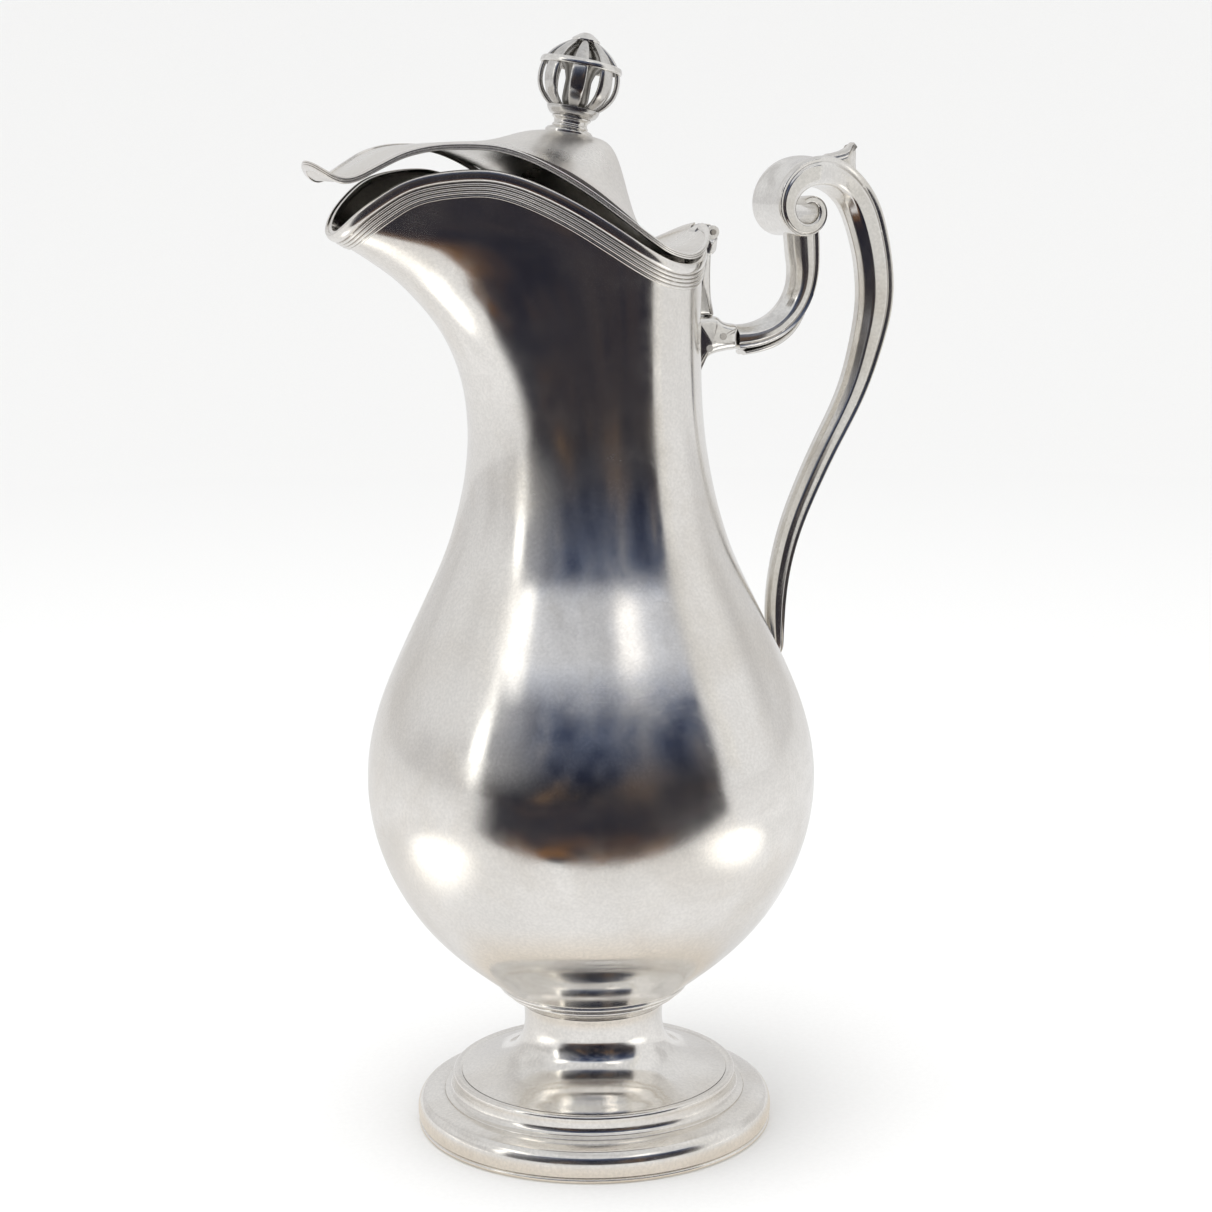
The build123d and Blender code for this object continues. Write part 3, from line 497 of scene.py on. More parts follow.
def line_of(pts, n, smooth=3.0):
    rows = np.array(pts, float)
    s = np.r_[0, np.cumsum(np.linalg.norm(np.diff(rows[:, :2], axis=0), axis=1))]
    u = np.linspace(0, s[-1], n)
    return gauss1(np.stack([hermite(s, rows[:, k], u) for k in range(rows.shape[1])], 1), smooth)


# --------------------------------------------------------------------------
# lid
# --------------------------------------------------------------------------
def lid_top(x, y):
    dx, dy = x - FINIAL_X, y
    rho = np.hypot(dx, dy)
    phi = np.abs(np.arctan2(dy, dx))
    u = phi / np.pi
    w = u * u * (3 - 2 * u)
    r0 = 17.0 + 6.8 * w + 2.0 * np.sin(phi) ** 2
    nn = 8.0 - 4.0 * np.minimum(1.0, 1.5 * w)
    g = 1.0 / (1.0 + (rho / r0) ** nn)
    zp = lid_z(x) + LID_T
    zt = FINIAL_Z - 0.12 * (x - FINIAL_X)
    cap = 0.9 * (1 - np.exp(-(rho / 9.0) ** 2)) * g
    return zp + (zt - zp) * g - cap


def lid_outline(off, n=720):
    t = t_values(n)
    z = rim_level(t)
    P = surf(z, t)[:, :2]
    P = gauss1(P, 2.0, closed=True)
    T = np.roll(P, -1, 0) - np.roll(P, 1, 0)
    m = np.linalg.norm(T, axis=1)
    q = np.stack([P[:, 0] + off * T[:, 1] / m, P[:, 1] - off * T[:, 0] / m], 1)
    u = np.clip((-58.0 - P[:, 0]) / 19.4, 0, 1)
    q[:, 0] -= 6.2 * u * u * (3 - 2 * u)
    return q


def ajar(P):
    c, s = math.cos(math.radians(LID_AJAR)), math.sin(math.radians(LID_AJAR))
    P = np.asarray(P, float).copy()
    x, z = P[..., 0] - HINGE_X, P[..., 2] - HINGE_Z
    P[..., 0], P[..., 2] = HINGE_X + x * c + z * s, HINGE_Z - x * s + z * c
    return P


def build_lid():
    O = lid_outline(0.7, 480)
    n = len(O)
    C0 = np.array([FINIAL_X, 0.0])
    d = O - C0
    L = np.linalg.norm(d, axis=1)
    f = np.r_[np.linspace(0.0, 1, 60)[:-1] * 12.0, np.linspace(12.0, 33.0, 84)]
    rows = []
    for r in f:
        rr = np.minimum(r, L * (r / 34.0) * 0.999 + 0 * L)
        rr = np.where(L > 34, r, r * L / 34.0)
        rows.append(C0 + d / L[:, None] * rr[:, None])
    last = rows[-1]
    for k in np.linspace(0, 1, 90)[1:]:
        rows.append(last + (O - last) * k)
    XY = np.stack(rows[1:])
    Z = lid_top(XY[..., 0], XY[..., 1])
    top = np.concatenate([XY, Z[..., None]], -1)
    e = 0.05
    gx = (lid_top(XY[..., 0] + e, XY[..., 1]) - lid_top(XY[..., 0] - e, XY[..., 1])) / (2 * e)
    gy = (lid_top(XY[..., 0], XY[..., 1] + e) - lid_top(XY[..., 0], XY[..., 1] - e)) / (2 * e)
    N = np.stack([-gx, -gy, np.ones_like(gx)], -1)
    N /= np.linalg.norm(N, axis=-1, keepdims=True)
    under = top - N * LID_T * 0.85
    # edge: roll from the top face to the underside
    under[-1] = top[-1] - np.array([0, 0, LID_T * 0.9])
    under[-2] = 0.5 * (under[-2] + top[-2] - np.array([0, 0, LID_T * 0.9]))
    c1 = np.array([[FINIAL_X, 0, float(lid_top(np.array(FINIAL_X), np.array(0.0)))]])
    P = np.concatenate([top, under[::-1][::3] if (len(under) - 1) % 3 == 0 else np.concatenate([under[::-1][::3], under[:1]])])
    V = np.vstack([c1, P.reshape(-1, 3), c1 - [[0, 0, LID_T * 0.85]]])
    m = len(P)
    F = [tuple(q) for q in grid_faces(m, n, start=1)]
    F += [(0, 1 + (j + 1) % n, 1 + j) for j in range(n)]
    z = 1 + (m - 1) * n
    F += [(len(V) - 1, z + j, z + (j + 1) % n) for j in range(n)]
    o = new_object("lid_plate", ajar(V) * MM, F)
    outward(o)
    o.data.set_sharp_from_angle(angle=math.radians(50))
    return o


EDGE_PROFILE = [(0.72, 0.05), (1.3, 0.0), (1.85, 0.06), (2.1, 0.25), (2.12, 0.45), (1.9, 0.62), (2.08, 0.78), (2.12, 1.0),
                (1.92, 1.18), (2.06, 1.34), (2.0, 1.6), (1.7, 1.84), (1.2, 1.93), (0.72, 1.9)]


def build_edge_wire():
    prof = spline_pts(EDGE_PROFILE, 64, closed=True)
    cols = []
    for off, h in prof:
        q = lid_outline(off, 1440)
        cols.append(np.column_stack([q, lid_z(q[:, 0]) + h]))
    P = np.stack(cols, 1)                       # around, profile
    P = np.roll(P, 720, 0)                      # start at the spout
    back = (P[:, :, 0] > 0).all(1) & (np.abs(P[:, :, 1]) < KN_MID + 0.1).any(1)
    k = np.where(back)[0]
    P = np.roll(P, -(k[-1] + 1), 0)[: len(P) - len(k)]
    n = P.shape[1]
    F = [tuple(f) for f in grid_faces(len(P), n)]
    F.append(tuple(range(n)))
    F.append(tuple((len(P) - 1) * n + j for j in range(n)))
    o = new_object("lid_edge_moulding", ajar(P.reshape(-1, 3)) * MM, F)
    outward(o)
    o.data.set_sharp_from_angle(angle=math.radians(55))
    return o


# --------------------------------------------------------------------------
# finial on its leaning axis
# --------------------------------------------------------------------------
LEAN = math.radians(FINIAL_LEAN)
FO = np.array([FINIAL_X, 0, FINIAL_Z])
FZD = np.array([math.sin(LEAN), 0, math.cos(LEAN)])
FXD = np.array([math.cos(LEAN), 0, -math.sin(LEAN)])
FYD = np.array([0, 1.0, 0])


def fin_point(r, h, a):
    r, h, a = np.broadcast_arrays(r, h, a)
    return FO + r[..., None] * (np.cos(a)[..., None] * FXD + np.sin(a)[..., None] * FYD) + h[..., None] * FZD


def fin_turned(name, prof, n=160, sharp=45, r=0.15):
    p = rounded(prof, r, 3)
    a = np.linspace(0, 2 * np.pi, n, endpoint=False)
    P = fin_point(p[:, 0:1], p[:, 1:2], a[None])
    o = new_object(name, ajar(P.reshape(-1, 3)) * MM, grid_faces(len(p), n, closed_i=True))
    outward(o)
    o.data.set_sharp_from_angle(angle=math.radians(sharp))
    return o


RIB_LINE = [(6.6, 6.2), (8.9, 7.9), (10.6, 9.9), (11.6, 12.0), (12.05, 14.9), (11.7, 18.2), (10.6, 20.6), (8.9, 22.8),
            (6.3, 25.0), (3.9, 26.4)]


def build_ribs():
    C = spline_pts(RIB_LINE, 60)
    C = gauss1(C, 2.0)
    T = np.gradient(C, axis=0)
    T /= np.linalg.norm(T, axis=1, keepdims=True)
    Nn = np.stack([T[:, 1], -T[:, 0]], 1)
    a = np.linspace(0, 2 * np.pi, 24, endpoint=False)
    e = 0.6
    su = np.sign(np.cos(a)) * np.abs(np.cos(a)) ** e
    sv = np.sign(np.sin(a)) * np.abs(np.sin(a)) ** e
    V, F = [], []
    for k in range(8):
        mid = math.radians(22.5 + 45 * k)
        base = len(V)
        half = np.radians(12.0) * (C[:, 0] * 0 + 1)
        rr = C[:, 0:1] + Nn[:, 0:1] * (sv[None] - 1) * 0.75
        hh = C[:, 1:2] + Nn[:, 1:2] * (sv[None] - 1) * 0.75
        P = fin_point(rr, hh, mid + half[:, None] * su[None])
        V += list(ajar(P.reshape(-1, 3)))
        F += [tuple(f) for f in grid_faces(len(C), 24, start=base)]
        F.append(tuple(base + j for j in range(24)))
        F.append(tuple(base + (len(C) - 1) * 24 + j for j in range(24)))
    o = new_object("finial_cage", np.array(V) * MM, F)
    outward(o)
    o.data.set_sharp_from_angle(angle=math.radians(60))
    return o


# --------------------------------------------------------------------------
# build and attach
# --------------------------------------------------------------------------
body = build_body()
reeds = build_reeds()
foot = build_foot()
scroll, bow = build_handle()
arm = sweep("handle_arm_cast", line_of(ARM, 160), ARM_SECTION)
leaf_s = spline_pts([(0, 1), (0.6, 0.95), (0.95, 0.5), (1, 0), (0.85, -0.7), (0.45, -1.0), (0, -0.75), (-0.45, -1.0),
                     (-0.85, -0.7), (-1, 0), (-0.95, 0.5), (-0.6, 0.95)], 60, closed=True)
leaf = sweep("arm_leaf_cast", line_of(LEAF, 60), leaf_s)
lid = build_lid()
edge = build_edge_wire()
cage = build_ribs()
SR = 1.45
seat = fin_turned("finial_seat_disc", [(SR, -0.9), (7.0, -0.9), (7.0, 0.0), (6.4, 0.7), (5.8, 0.9), (SR, 0.9)])
collar = fin_turned("finial_neck", [(SR, 0.9), (5.2, 0.9), (5.4, 1.5), (4.8, 2.2), (5.0, 3.2), (5.7, 3.7), (5.7, 4.2),
                                    (SR, 4.2)], r=0.4)
cup = fin_turned("finial_saucer", [(SR, 4.2), (5.7, 4.2), (6.8, 4.8), (7.5, 5.8), (7.8, 6.9), (7.3, 6.9), (6.8, 6.1),
                                   (5.8, 5.4), (SR, 5.2)], r=0.25)
ring = fin_turned("finial_hoop", [(11.85, 18.4), (12.12, 18.8), (12.0, 19.6), (11.7, 20.3), (11.2, 20.45), (10.6, 20.3),
                                  (11.1, 18.5)], r=0.3)
bud = fin_turned("finial_button", [(0.01, 25.2), (2.6, 25.2), (3.9, 26.0), (4.2, 26.8), (3.4, 27.4), (2.3, 28.2),
                                   (1.3, 28.8), (0.01, 28.9)], r=0.5)
core = fin_turned("finial_stem", [(0.01, -4.2), (SR, -4.2), (SR, 5.4), (2.4, 5.4), (3.0, 6.6), (3.9, 9.0), (3.9, 12.0),
                                  (3.8, 15.0), (4.6, 17.6), (6.0, 19.6), (6.1, 21.4), (4.4, 23.6), (2.2, 25.2), (0.01, 25.2)],
                  r=0.8)



# --------------------------------------------------------------------------
# bracket, socket and thumb leaf: cushions with rounded edges
# --------------------------------------------------------------------------
def cushion(outline, y0, y1, r, n=120):
    C = spline_pts(outline, n, closed=True)
    T = np.roll(C, -1, 0) - np.roll(C, 1, 0)
    T /= np.linalg.norm(T, axis=1, keepdims=True)
    area = 0.5 * np.sum(C[:, 0] * np.roll(C[:, 1], -1) - np.roll(C[:, 0], -1) * C[:, 1])
    Nn = np.stack([T[:, 1], -T[:, 0]], 1) * (1 if area > 0 else -1)
    th = np.linspace(0, math.pi / 2, 9)
    lev = [(y0 + r * (1 - math.sin(a)), r * (1 - math.cos(a))) for a in th[::-1]]
    lev += [(y1 - r * (1 - math.sin(a)), r * (1 - math.cos(a))) for a in th]
    rows = []
    for y, inset in lev:
        q = C - Nn * inset
        rows.append(np.stack([q[:, 0], np.full(n, y), q[:, 1]], 1))
    mid = C.mean(0)
    for side, k in ((0, 0), (-1, -1)):
        base = rows[0] if k == 0 else rows[-1]
        caps = []
        for f, lift in ((0.75, 0.22), (0.5, 0.36), (0.25, 0.43), (0.02, 0.45)):
            q = base.copy()
            q[:, 0] = mid[0] + (base[:, 0] - mid[0]) * f
            q[:, 2] = mid[1] + (base[:, 2] - mid[1]) * f
            q[:, 1] += -lift if k == 0 else lift
            caps.append(q)
        rows = (caps[::-1] + rows) if k == 0 else (rows + caps)
    P = np.stack(rows)
    return P.reshape(-1, 3), grid_faces(len(P), n), n


def cushions(name, parts):
    V, F, start = [], [], 0
    for part in parts:
        v, f, n = cushion(*part)
        V.append(v)
        F += [tuple(int(i) + start for i in q) for q in f]
        F.append(tuple(start + k for k in range(n)))
        F.append(tuple(start + len(v) - n + k for k in range(n)))
        start += len(v)
    o = new_object(name, np.vstack(V) * MM, F)
    return outward(o)


RIB = [(33.0, 249.2), (37.0, 248.7), (40.6, 248.6), (40.6, 250.4), (40.0, 253.5), (39.7, 260.0), (39.9, 266.0), (40.1, 269.0),
       (39.0, 270.3), (36.6, 270.2), (33.0, 268.0), (33.0, 260.0)]
EAR = [(36.6, 267.6), (38.6, 266.9), (40.1, 268.0), (40.6, 270.4), (40.7, 272.2), (39.2, 271.7), (37.4, 272.3), (36.9, 270.4)]
bracket = cushions("hinge_bracket_cast", [(RIB, -3.0, 3.0, 1.8), (EAR, -4.8, -2.52, 0.5), (EAR, 2.52, 4.8, 0.5)])
SOCK = [(33.0, 231.0), (35.2, 230.4), (36.1, 231.8), (37.1, 234.2), (38.6, 236.3), (41.0, 237.3), (44.5, 237.9), (48.0, 238.6),
        (48.3, 242.0), (48.0, 245.5), (45.4, 246.1), (43.2, 246.9), (41.6, 248.2), (38.0, 248.4), (33.0, 248.0), (33.0, 240.0)]
socket = cushions("handle_socket_cast", [(SOCK, -4.4, 4.4, 2.6)])
SPUR = [(78.2, 293.8), (79.2, 296.0), (81.6, 296.5), (84.4, 297.2), (86.6, 298.3), (88.3, 299.6), (88.8, 297.4), (88.8, 293.6),
        (88.6, 289.6), (86.0, 289.2), (82.0, 291.4)]
thumb = cushions("thumb_leaf_cast", [(SPUR, -2.55, 2.55, 1.5)])

PAIRS = [(body, "jug", ["body_shell"], "silver"), (reeds, "jug", ["rim_moulding"], "silver_moulding"),
         (scroll, "jug", ["handle_volute"], "cast_silver"), (bow, "jug", ["handle_grip"], "cast_silver"),
         (arm, "jug", ["handle_arm"], "cast_silver"), (leaf, "jug", ["arm_leaf"], "cast_silver"),
         (lid, "lid", ["lid_shell"], "silver"), (edge, "lid", ["lid_edge_wire"], "silver_moulding"),
         (seat, "lid", ["finial_seat"], "cast_silver"), (collar, "lid", ["finial_collar"], "cast_silver"),
         (cup, "lid", ["finial_cup"], "cast_silver"), (cage, "lid", ["finial_ribs"], "cast_silver"),
         (ring, "lid", ["finial_ring"], "cast_silver"), (bud, "lid", ["finial_bud"], "cast_silver"),
         (core, "lid", ["finial_core"], "dark_silver"),
         (bracket, "jug", ["hinge_bracket"], "cast_silver"), (socket, "jug", ["handle_socket"], "cast_silver"),
         (thumb, "jug", ["thumb_leaf"], "cast_silver")]
for node, o in foot.items():
    PAIRS.append((o, "jug", [node], "silver_moulding" if ("wire" in node or "collar" in node) else "silver"))


# --------------------------------------------------------------------------
# materials
# --------------------------------------------------------------------------
def ramp(nt, fac, stops, mode="EASE"):
    n = nt.nodes.new("ShaderNodeValToRGB")
    n.color_ramp.interpolation = mode
    els = n.color_ramp.elements
    while len(els) < len(stops):
        els.new(0.5)
    for e, (p, c) in zip(els, stops):
        e.position = p
        e.color = c if len(c) == 4 else (*c, 1.0)
    nt.links.new(fac, n.inputs[0])
    return n.outputs[0]


def noise(nt, vec, scale, detail=3.0, rough=0.55, dist=0.0):
    n = nt.nodes.new("ShaderNodeTexNoise")
    n.inputs["Scale"].default_value = scale
    n.inputs["Detail"].default_value = detail
    n.inputs["Roughness"].default_value = rough
    n.inputs["Distortion"].default_value = dist
    nt.links.new(vec, n.inputs["Vector"])
    return n.outputs["Fac"]


def mapped(nt, vec, scale=(1, 1, 1), rot=(0, 0, 0), loc=(0, 0, 0)):
    m = nt.nodes.new("ShaderNodeMapping")
    m.inputs["Scale"].default_value = scale
    m.inputs["Rotation"].default_value = rot
    m.inputs["Location"].default_value = loc
    nt.links.new(vec, m.inputs["Vector"])
    return m.outputs[0]


def math_node(nt, op, a, b=None, clamp=False):
    m = nt.nodes.new("ShaderNodeMath")
    m.operation = op
    m.use_clamp = clamp
    for k, v in enumerate((a, b)):
        if v is None:
            continue
        if isinstance(v, (int, float)):
            m.inputs[k].default_value = v
        else:
            nt.links.new(v, m.inputs[k])
    return m.outputs[0]


def span(nt, v, a, b, c=0.0, d=1.0, smooth=True):
    m = nt.nodes.new("ShaderNodeMapRange")
    m.interpolation_type = "SMOOTHSTEP" if smooth else "LINEAR"
    m.clamp = True
    for k, x in zip(("From Min", "From Max", "To Min", "To Max"), (a, b, c, d)):
        m.inputs[k].default_value = x
    nt.links.new(v, m.inputs["Value"])
    return m.outputs[0]


def mix_rgb(nt, fac, a, b, mode="MIX"):
    m = nt.nodes.new("ShaderNodeMix")
    m.data_type = "RGBA"
    m.blend_type = mode
    for sock, v in ((m.inputs["Factor"], fac), (m.inputs[6], a), (m.inputs[7], b)):
        if isinstance(v, (int, float)):
            sock.default_value = v
        elif isinstance(v, tuple):
            sock.default_value = (*v, 1.0) if len(v) == 3 else v
        else:
            nt.links.new(v, sock)
    return m.outputs[2]


def silver(name, tint=(0.91, 0.888, 0.85), stain=(0.62, 0.55, 0.45), r_lo=0.09, r_hi=0.17, crease=0.5, seed=0.0,
           scratch=0.025, dull=0.28):
    m = bpy.data.materials.new(name)
    m.use_nodes = True
    nt = m.node_tree
    bsdf = nt.nodes["Principled BSDF"]
    tc = nt.nodes.new("ShaderNodeTexCoord").outputs["Object"]
    v = mapped(nt, tc, loc=(seed, seed * 0.7, -seed))
    cloud = noise(nt, v, 22.0, 4.0, 0.6, 0.4)             # 45 mm clouds of polish
    fog = noise(nt, v, 90.0, 5.0, 0.62, 0.2)              # 10 mm smears
    grain = noise(nt, v, 1100.0, 2.0, 0.6)                # sub-millimetre grain
    # hairlines running two ways
    h1 = noise(nt, mapped(nt, tc, (140, 140, 3200), (0.5, 0.2, 0.3)), 1.0, 2.0, 0.5)
    h2 = noise(nt, mapped(nt, tc, (150, 2600, 150), (0.9, 0.4, 1.1)), 1.0, 2.0, 0.5)
    lines = math_node(nt, "MAXIMUM", span(nt, h1, 0.66, 0.74), span(nt, h2, 0.66, 0.75))
    # tarnish: broad clouds, thicker in creases
    point = nt.nodes.new("ShaderNodeNewGeometry").outputs["Pointiness"]
    low = span(nt, point, 0.492, 0.44)
    spots = span(nt, fog, 0.60, 0.78)
    cl = span(nt, cloud, 0.40, 0.72)
    amount = math_node(nt, "MULTIPLY", math_node(nt, "ADD", math_node(nt, "MULTIPLY", spots, 0.5), cl), dull)
    col = mix_rgb(nt, amount, tint, stain)
    col = mix_rgb(nt, math_node(nt, "MULTIPLY", low, crease), col, (0.16, 0.135, 0.11))
    fine = span(nt, grain, 0.3, 0.75, 0.93, 1.02)
    col = mix_rgb(nt, 1.0, col, fine, "MULTIPLY")
    nt.links.new(col, bsdf.inputs["Base Color"])
    bsdf.inputs["Metallic"].default_value = 1.0
    r = span(nt, cloud, 0.3, 0.7, r_lo, r_hi)
    r = math_node(nt, "ADD", r, span(nt, fog, 0.35, 0.75, -0.015, 0.05))
    r = math_node(nt, "ADD", r, math_node(nt, "MULTIPLY", lines, 0.035))
    r = math_node(nt, "ADD", r, math_node(nt, "MULTIPLY", low, 0.18), clamp=True)
    nt.links.new(r, bsdf.inputs["Roughness"])
    height = math_node(nt, "SUBTRACT", math_node(nt, "MULTIPLY", grain, 0.3), math_node(nt, "MULTIPLY", lines, 0.7))
    b1 = nt.nodes.new("ShaderNodeBump")
    b1.inputs["Strength"].default_value = scratch
    b1.inputs["Distance"].default_value = 0.00006
    nt.links.new(height, b1.inputs["Height"])
    # hand-raised sheet: barely visible hollows 20 to 40 mm across
    b2 = nt.nodes.new("ShaderNodeBump")
    b2.inputs["Strength"].default_value = 0.14
    b2.inputs["Distance"].default_value = 0.0004
    nt.links.new(noise(nt, v, 38.0, 1.0, 0.4), b2.inputs["Height"])
    nt.links.new(b1.outputs[0], b2.inputs["Normal"])
    nt.links.new(b2.outputs[0], bsdf.inputs["Normal"])
    return m


MATS = {
    "silver": silver("silver", seed=0.31, r_hi=0.22),
    "lid_silver": silver("lid_silver", seed=0.83, r_lo=0.24, r_hi=0.34, scratch=0.02, dull=0.2),
    "silver_moulding": silver("silver_moulding", crease=0.85, r_lo=0.11, r_hi=0.2, seed=1.7, dull=0.3),
    "cast_silver": silver("cast_silver", tint=(0.88, 0.865, 0.835), crease=0.8, r_lo=0.10, r_hi=0.2, seed=2.9, dull=0.4),
    "pin_silver": silver("pin_silver", tint=(0.80, 0.78, 0.745), stain=(0.42, 0.36, 0.29), crease=0.8, r_lo=0.16,
                         r_hi=0.3, seed=4.1, dull=0.6),
    "cage_silver": silver("cage_silver", tint=(0.74, 0.725, 0.70), stain=(0.34, 0.30, 0.25), crease=0.9, r_lo=0.12, r_hi=0.24,
                          seed=6.2, dull=0.5),
    "dark_silver": silver("dark_silver", tint=(0.36, 0.345, 0.32), stain=(0.11, 0.095, 0.08), crease=0.9, r_lo=0.22,
                          r_hi=0.4, seed=5.3, dull=0.8),
}

for o, who, nodes, slot in PAIRS:
    o.data.materials.clear()
    o.data.materials.append(MATS[{"finial_ribs": "cage_silver", "finial_cup": "cage_silver", "lid_shell": "lid_silver"}.get(nodes[0], slot)])
    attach(o, who)
    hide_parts(*nodes)

taken = {n for _, _, ns, _ in PAIRS for n in ns}
CAD_SLOT = {"hinge_bracket": "cast_silver", "hinge_knuckles": "cast_silver", "hinge_pin": "pin_silver",
            "handle_socket": "cast_silver", "socket_rivets": "pin_silver", "thumb_leaf": "cast_silver",
            "lower_terminal": "cast_silver", "lid_hinge_leaf": "cast_silver", "finial_nut": "pin_silver"}
for name, o in NODES.items():
    if name in taken:
        continue
    o.data.materials.clear()
    o.data.materials.append(MATS[CAD_SLOT[name]])
    bev = o.modifiers.new("soft_edges", "BEVEL")
    bev.width = 0.00035
    bev.segments = 3
    bev.limit_method = "ANGLE"
    bev.angle_limit = math.radians(28)

# --------------------------------------------------------------------------
# stage: pale sweep, soft light
# --------------------------------------------------------------------------
CAM = Vector((-0.28095, -0.69539, 0.300))
PHI, YAW, PITCH, ROLL = (math.radians(a) for a in (22.0, 0.3858, 10.4056, -0.5157))
D = Vector((math.sin(PHI + YAW) * math.cos(PITCH), math.cos(PHI + YAW) * math.cos(PITCH), -math.sin(PITCH)))
R = Vector((math.cos(PHI + YAW), -math.sin(PHI + YAW), 0))
U = R.cross(D)
c, s_ = math.cos(ROLL), math.sin(ROLL)
R2, U2 = c * R + s_ * U, -s_ * R + c * U
cam_data = bpy.data.cameras.new("camera")
cam_data.lens = 74.84
cam_data.sensor_width = 36.0
cam = bpy.data.objects.new("camera", cam_data)
cam.matrix_world = Matrix(((R2.x, U2.x, -D.x, CAM.x), (R2.y, U2.y, -D.y, CAM.y), (R2.z, U2.z, -D.z, CAM.z), (0, 0, 0, 1)))
scene.collection.objects.link(cam)
scene.camera = cam

# floor: a big pale disc
fl = []
rings = [0.0] + list(np.geomspace(0.03, 14.0, 40))
na = 96
fv = [(0, 0, 0)]
for r in rings[1:]:
    fv += [(r * math.cos(2 * math.pi * k / na), r * math.sin(2 * math.pi * k / na), 0.0) for k in range(na)]
ff = [(0, 1 + k, 1 + (k + 1) % na) for k in range(na)]
for i in range(len(rings) - 2):
    a0, b0 = 1 + i * na, 1 + (i + 1) * na
    ff += [(a0 + k, b0 + k, b0 + (k + 1) % na, a0 + (k + 1) % na) for k in range(na)]
me = bpy.data.meshes.new("floor")
me.from_pydata([(x, y, z - 0.00002) for x, y, z in fv], [], ff)
floor = bpy.data.objects.new("floor", me)
scene.collection.objects.link(floor)
fm = bpy.data.materials.new("floor_paper")
fm.use_nodes = True
fb = fm.node_tree.nodes["Principled BSDF"]
ft = fm.node_tree.nodes.new("ShaderNodeTexCoord").outputs["Object"]
fm.node_tree.links.new(ramp(fm.node_tree, noise(fm.node_tree, ft, 600.0, 2.0), [(0.3, (0.865, 0.865, 0.86)), (0.7, (0.885, 0.885, 0.88))]),
                       fb.inputs["Base Color"])
fb.inputs["Roughness"].default_value = 0.75
fb.inputs["Specular IOR Level"].default_value = 0.15
nt = fm.node_tree
# painted reflection: glossy rays see the floor mixed 62% with a glowing grey, browner within about 95 mm of the axis
fe = nt.nodes.new("ShaderNodeEmission")
fl_ = nt.nodes.new("ShaderNodeVectorMath")
fl_.operation = "LENGTH"
nt.links.new(ft, fl_.inputs[0])
pale = ramp(nt, noise(nt, ft, 7.0, 3.0), [(0.3, (0.62, 0.615, 0.62)), (0.7, (0.76, 0.757, 0.77))])
warm = math_node(nt, "MULTIPLY", span(nt, fl_.outputs["Value"], 0.095, 0.055), 0.6)
nt.links.new(mix_rgb(nt, warm, pale, (0.70, 0.56, 0.38)), fe.inputs["Color"])
fx_ = nt.nodes.new("ShaderNodeMixShader")
nt.links.new(math_node(nt, "MULTIPLY", nt.nodes.new("ShaderNodeLightPath").outputs["Is Glossy Ray"], 0.62), fx_.inputs[0])
nt.links.new(fb.outputs[0], fx_.inputs[1])
nt.links.new(fe.outputs[0], fx_.inputs[2])
nt.links.new(fx_.outputs[0], nt.nodes["Material Output"].inputs[0])
floor.data.materials.append(fm)

# painted reflection: dark edge of the set in front of the sweep, seen only in the metal, browner nearer the jug
right = Vector((math.cos(PHI), -math.sin(PHI), 0))
front = Vector((-math.sin(PHI), -math.cos(PHI), 0))
cm = bpy.data.meshes.new("set_edge")


def polar_point(az, r, z):
    a = math.radians(az)
    p = front * (math.cos(a) * r) + right * (math.sin(a) * r)
    return (p.x, p.y, z)


cv, cf = [], []
AZ = np.linspace(-63, 69, 44)
for a in AZ:
    r0 = 0.222 / math.cos(math.radians(a))
    cv.append(polar_point(a, r0, 0.001))
    cv.append(polar_point(a, 13.9, 0.001))
for k in range(len(AZ) - 1):
    cf.append((2 * k, 2 * k + 2, 2 * k + 3, 2 * k + 1))
cm.from_pydata(cv, [], cf)
cardo = bpy.data.objects.new("set_edge", cm)
scene.collection.objects.link(cardo)
dm = bpy.data.materials.new("set_dark")
dm.use_nodes = True
nt = dm.node_tree
nt.nodes.remove(nt.nodes["Principled BSDF"])
em = nt.nodes.new("ShaderNodeEmission")
dt = nt.nodes.new("ShaderNodeTexCoord").outputs["Object"]
dl_ = nt.nodes.new("ShaderNodeVectorMath")
dl_.operation = "LENGTH"
nt.links.new(dt, dl_.inputs[0])
inky = ramp(nt, noise(nt, dt, 3.2, 2.0, 0.5), [(0.34, (0.009, 0.010, 0.020)), (0.5, (0.024, 0.024, 0.034)), (0.70, (0.090, 0.062, 0.048))])
# painted reflection: the dark card turns brown in patches nearer the jug
painted_brown_reflection = math_node(nt, "MULTIPLY", span(nt, dl_.outputs["Value"], 0.50, 0.21), span(nt, noise(nt, dt, 14.0, 2.0), 0.42, 0.62))
nt.links.new(mix_rgb(nt, painted_brown_reflection, inky, (0.20, 0.095, 0.035)), em.inputs["Color"])


def vdot(v, const):
    n = nt.nodes.new("ShaderNodeVectorMath")
    n.operation = "DOT_PRODUCT"
    nt.links.new(v, n.inputs[0])
    n.inputs[1].default_value = const
    return n.outputs["Value"]


caz = math_node(nt, "MULTIPLY", math_node(nt, "ARCTAN2", vdot(dt, tuple(right)), vdot(dt, tuple(front))), 57.29578)
ctr = nt.nodes.new("ShaderNodeBsdfTransparent")
cmx = nt.nodes.new("ShaderNodeMixShader")
nt.links.new(span(nt, caz, -62, -46), cmx.inputs[0])
nt.links.new(ctr.outputs[0], cmx.inputs[1])
nt.links.new(em.outputs[0], cmx.inputs[2])
nt.links.new(cmx.outputs[0], nt.nodes["Material Output"].inputs[0])
cardo.data.materials.append(dm)
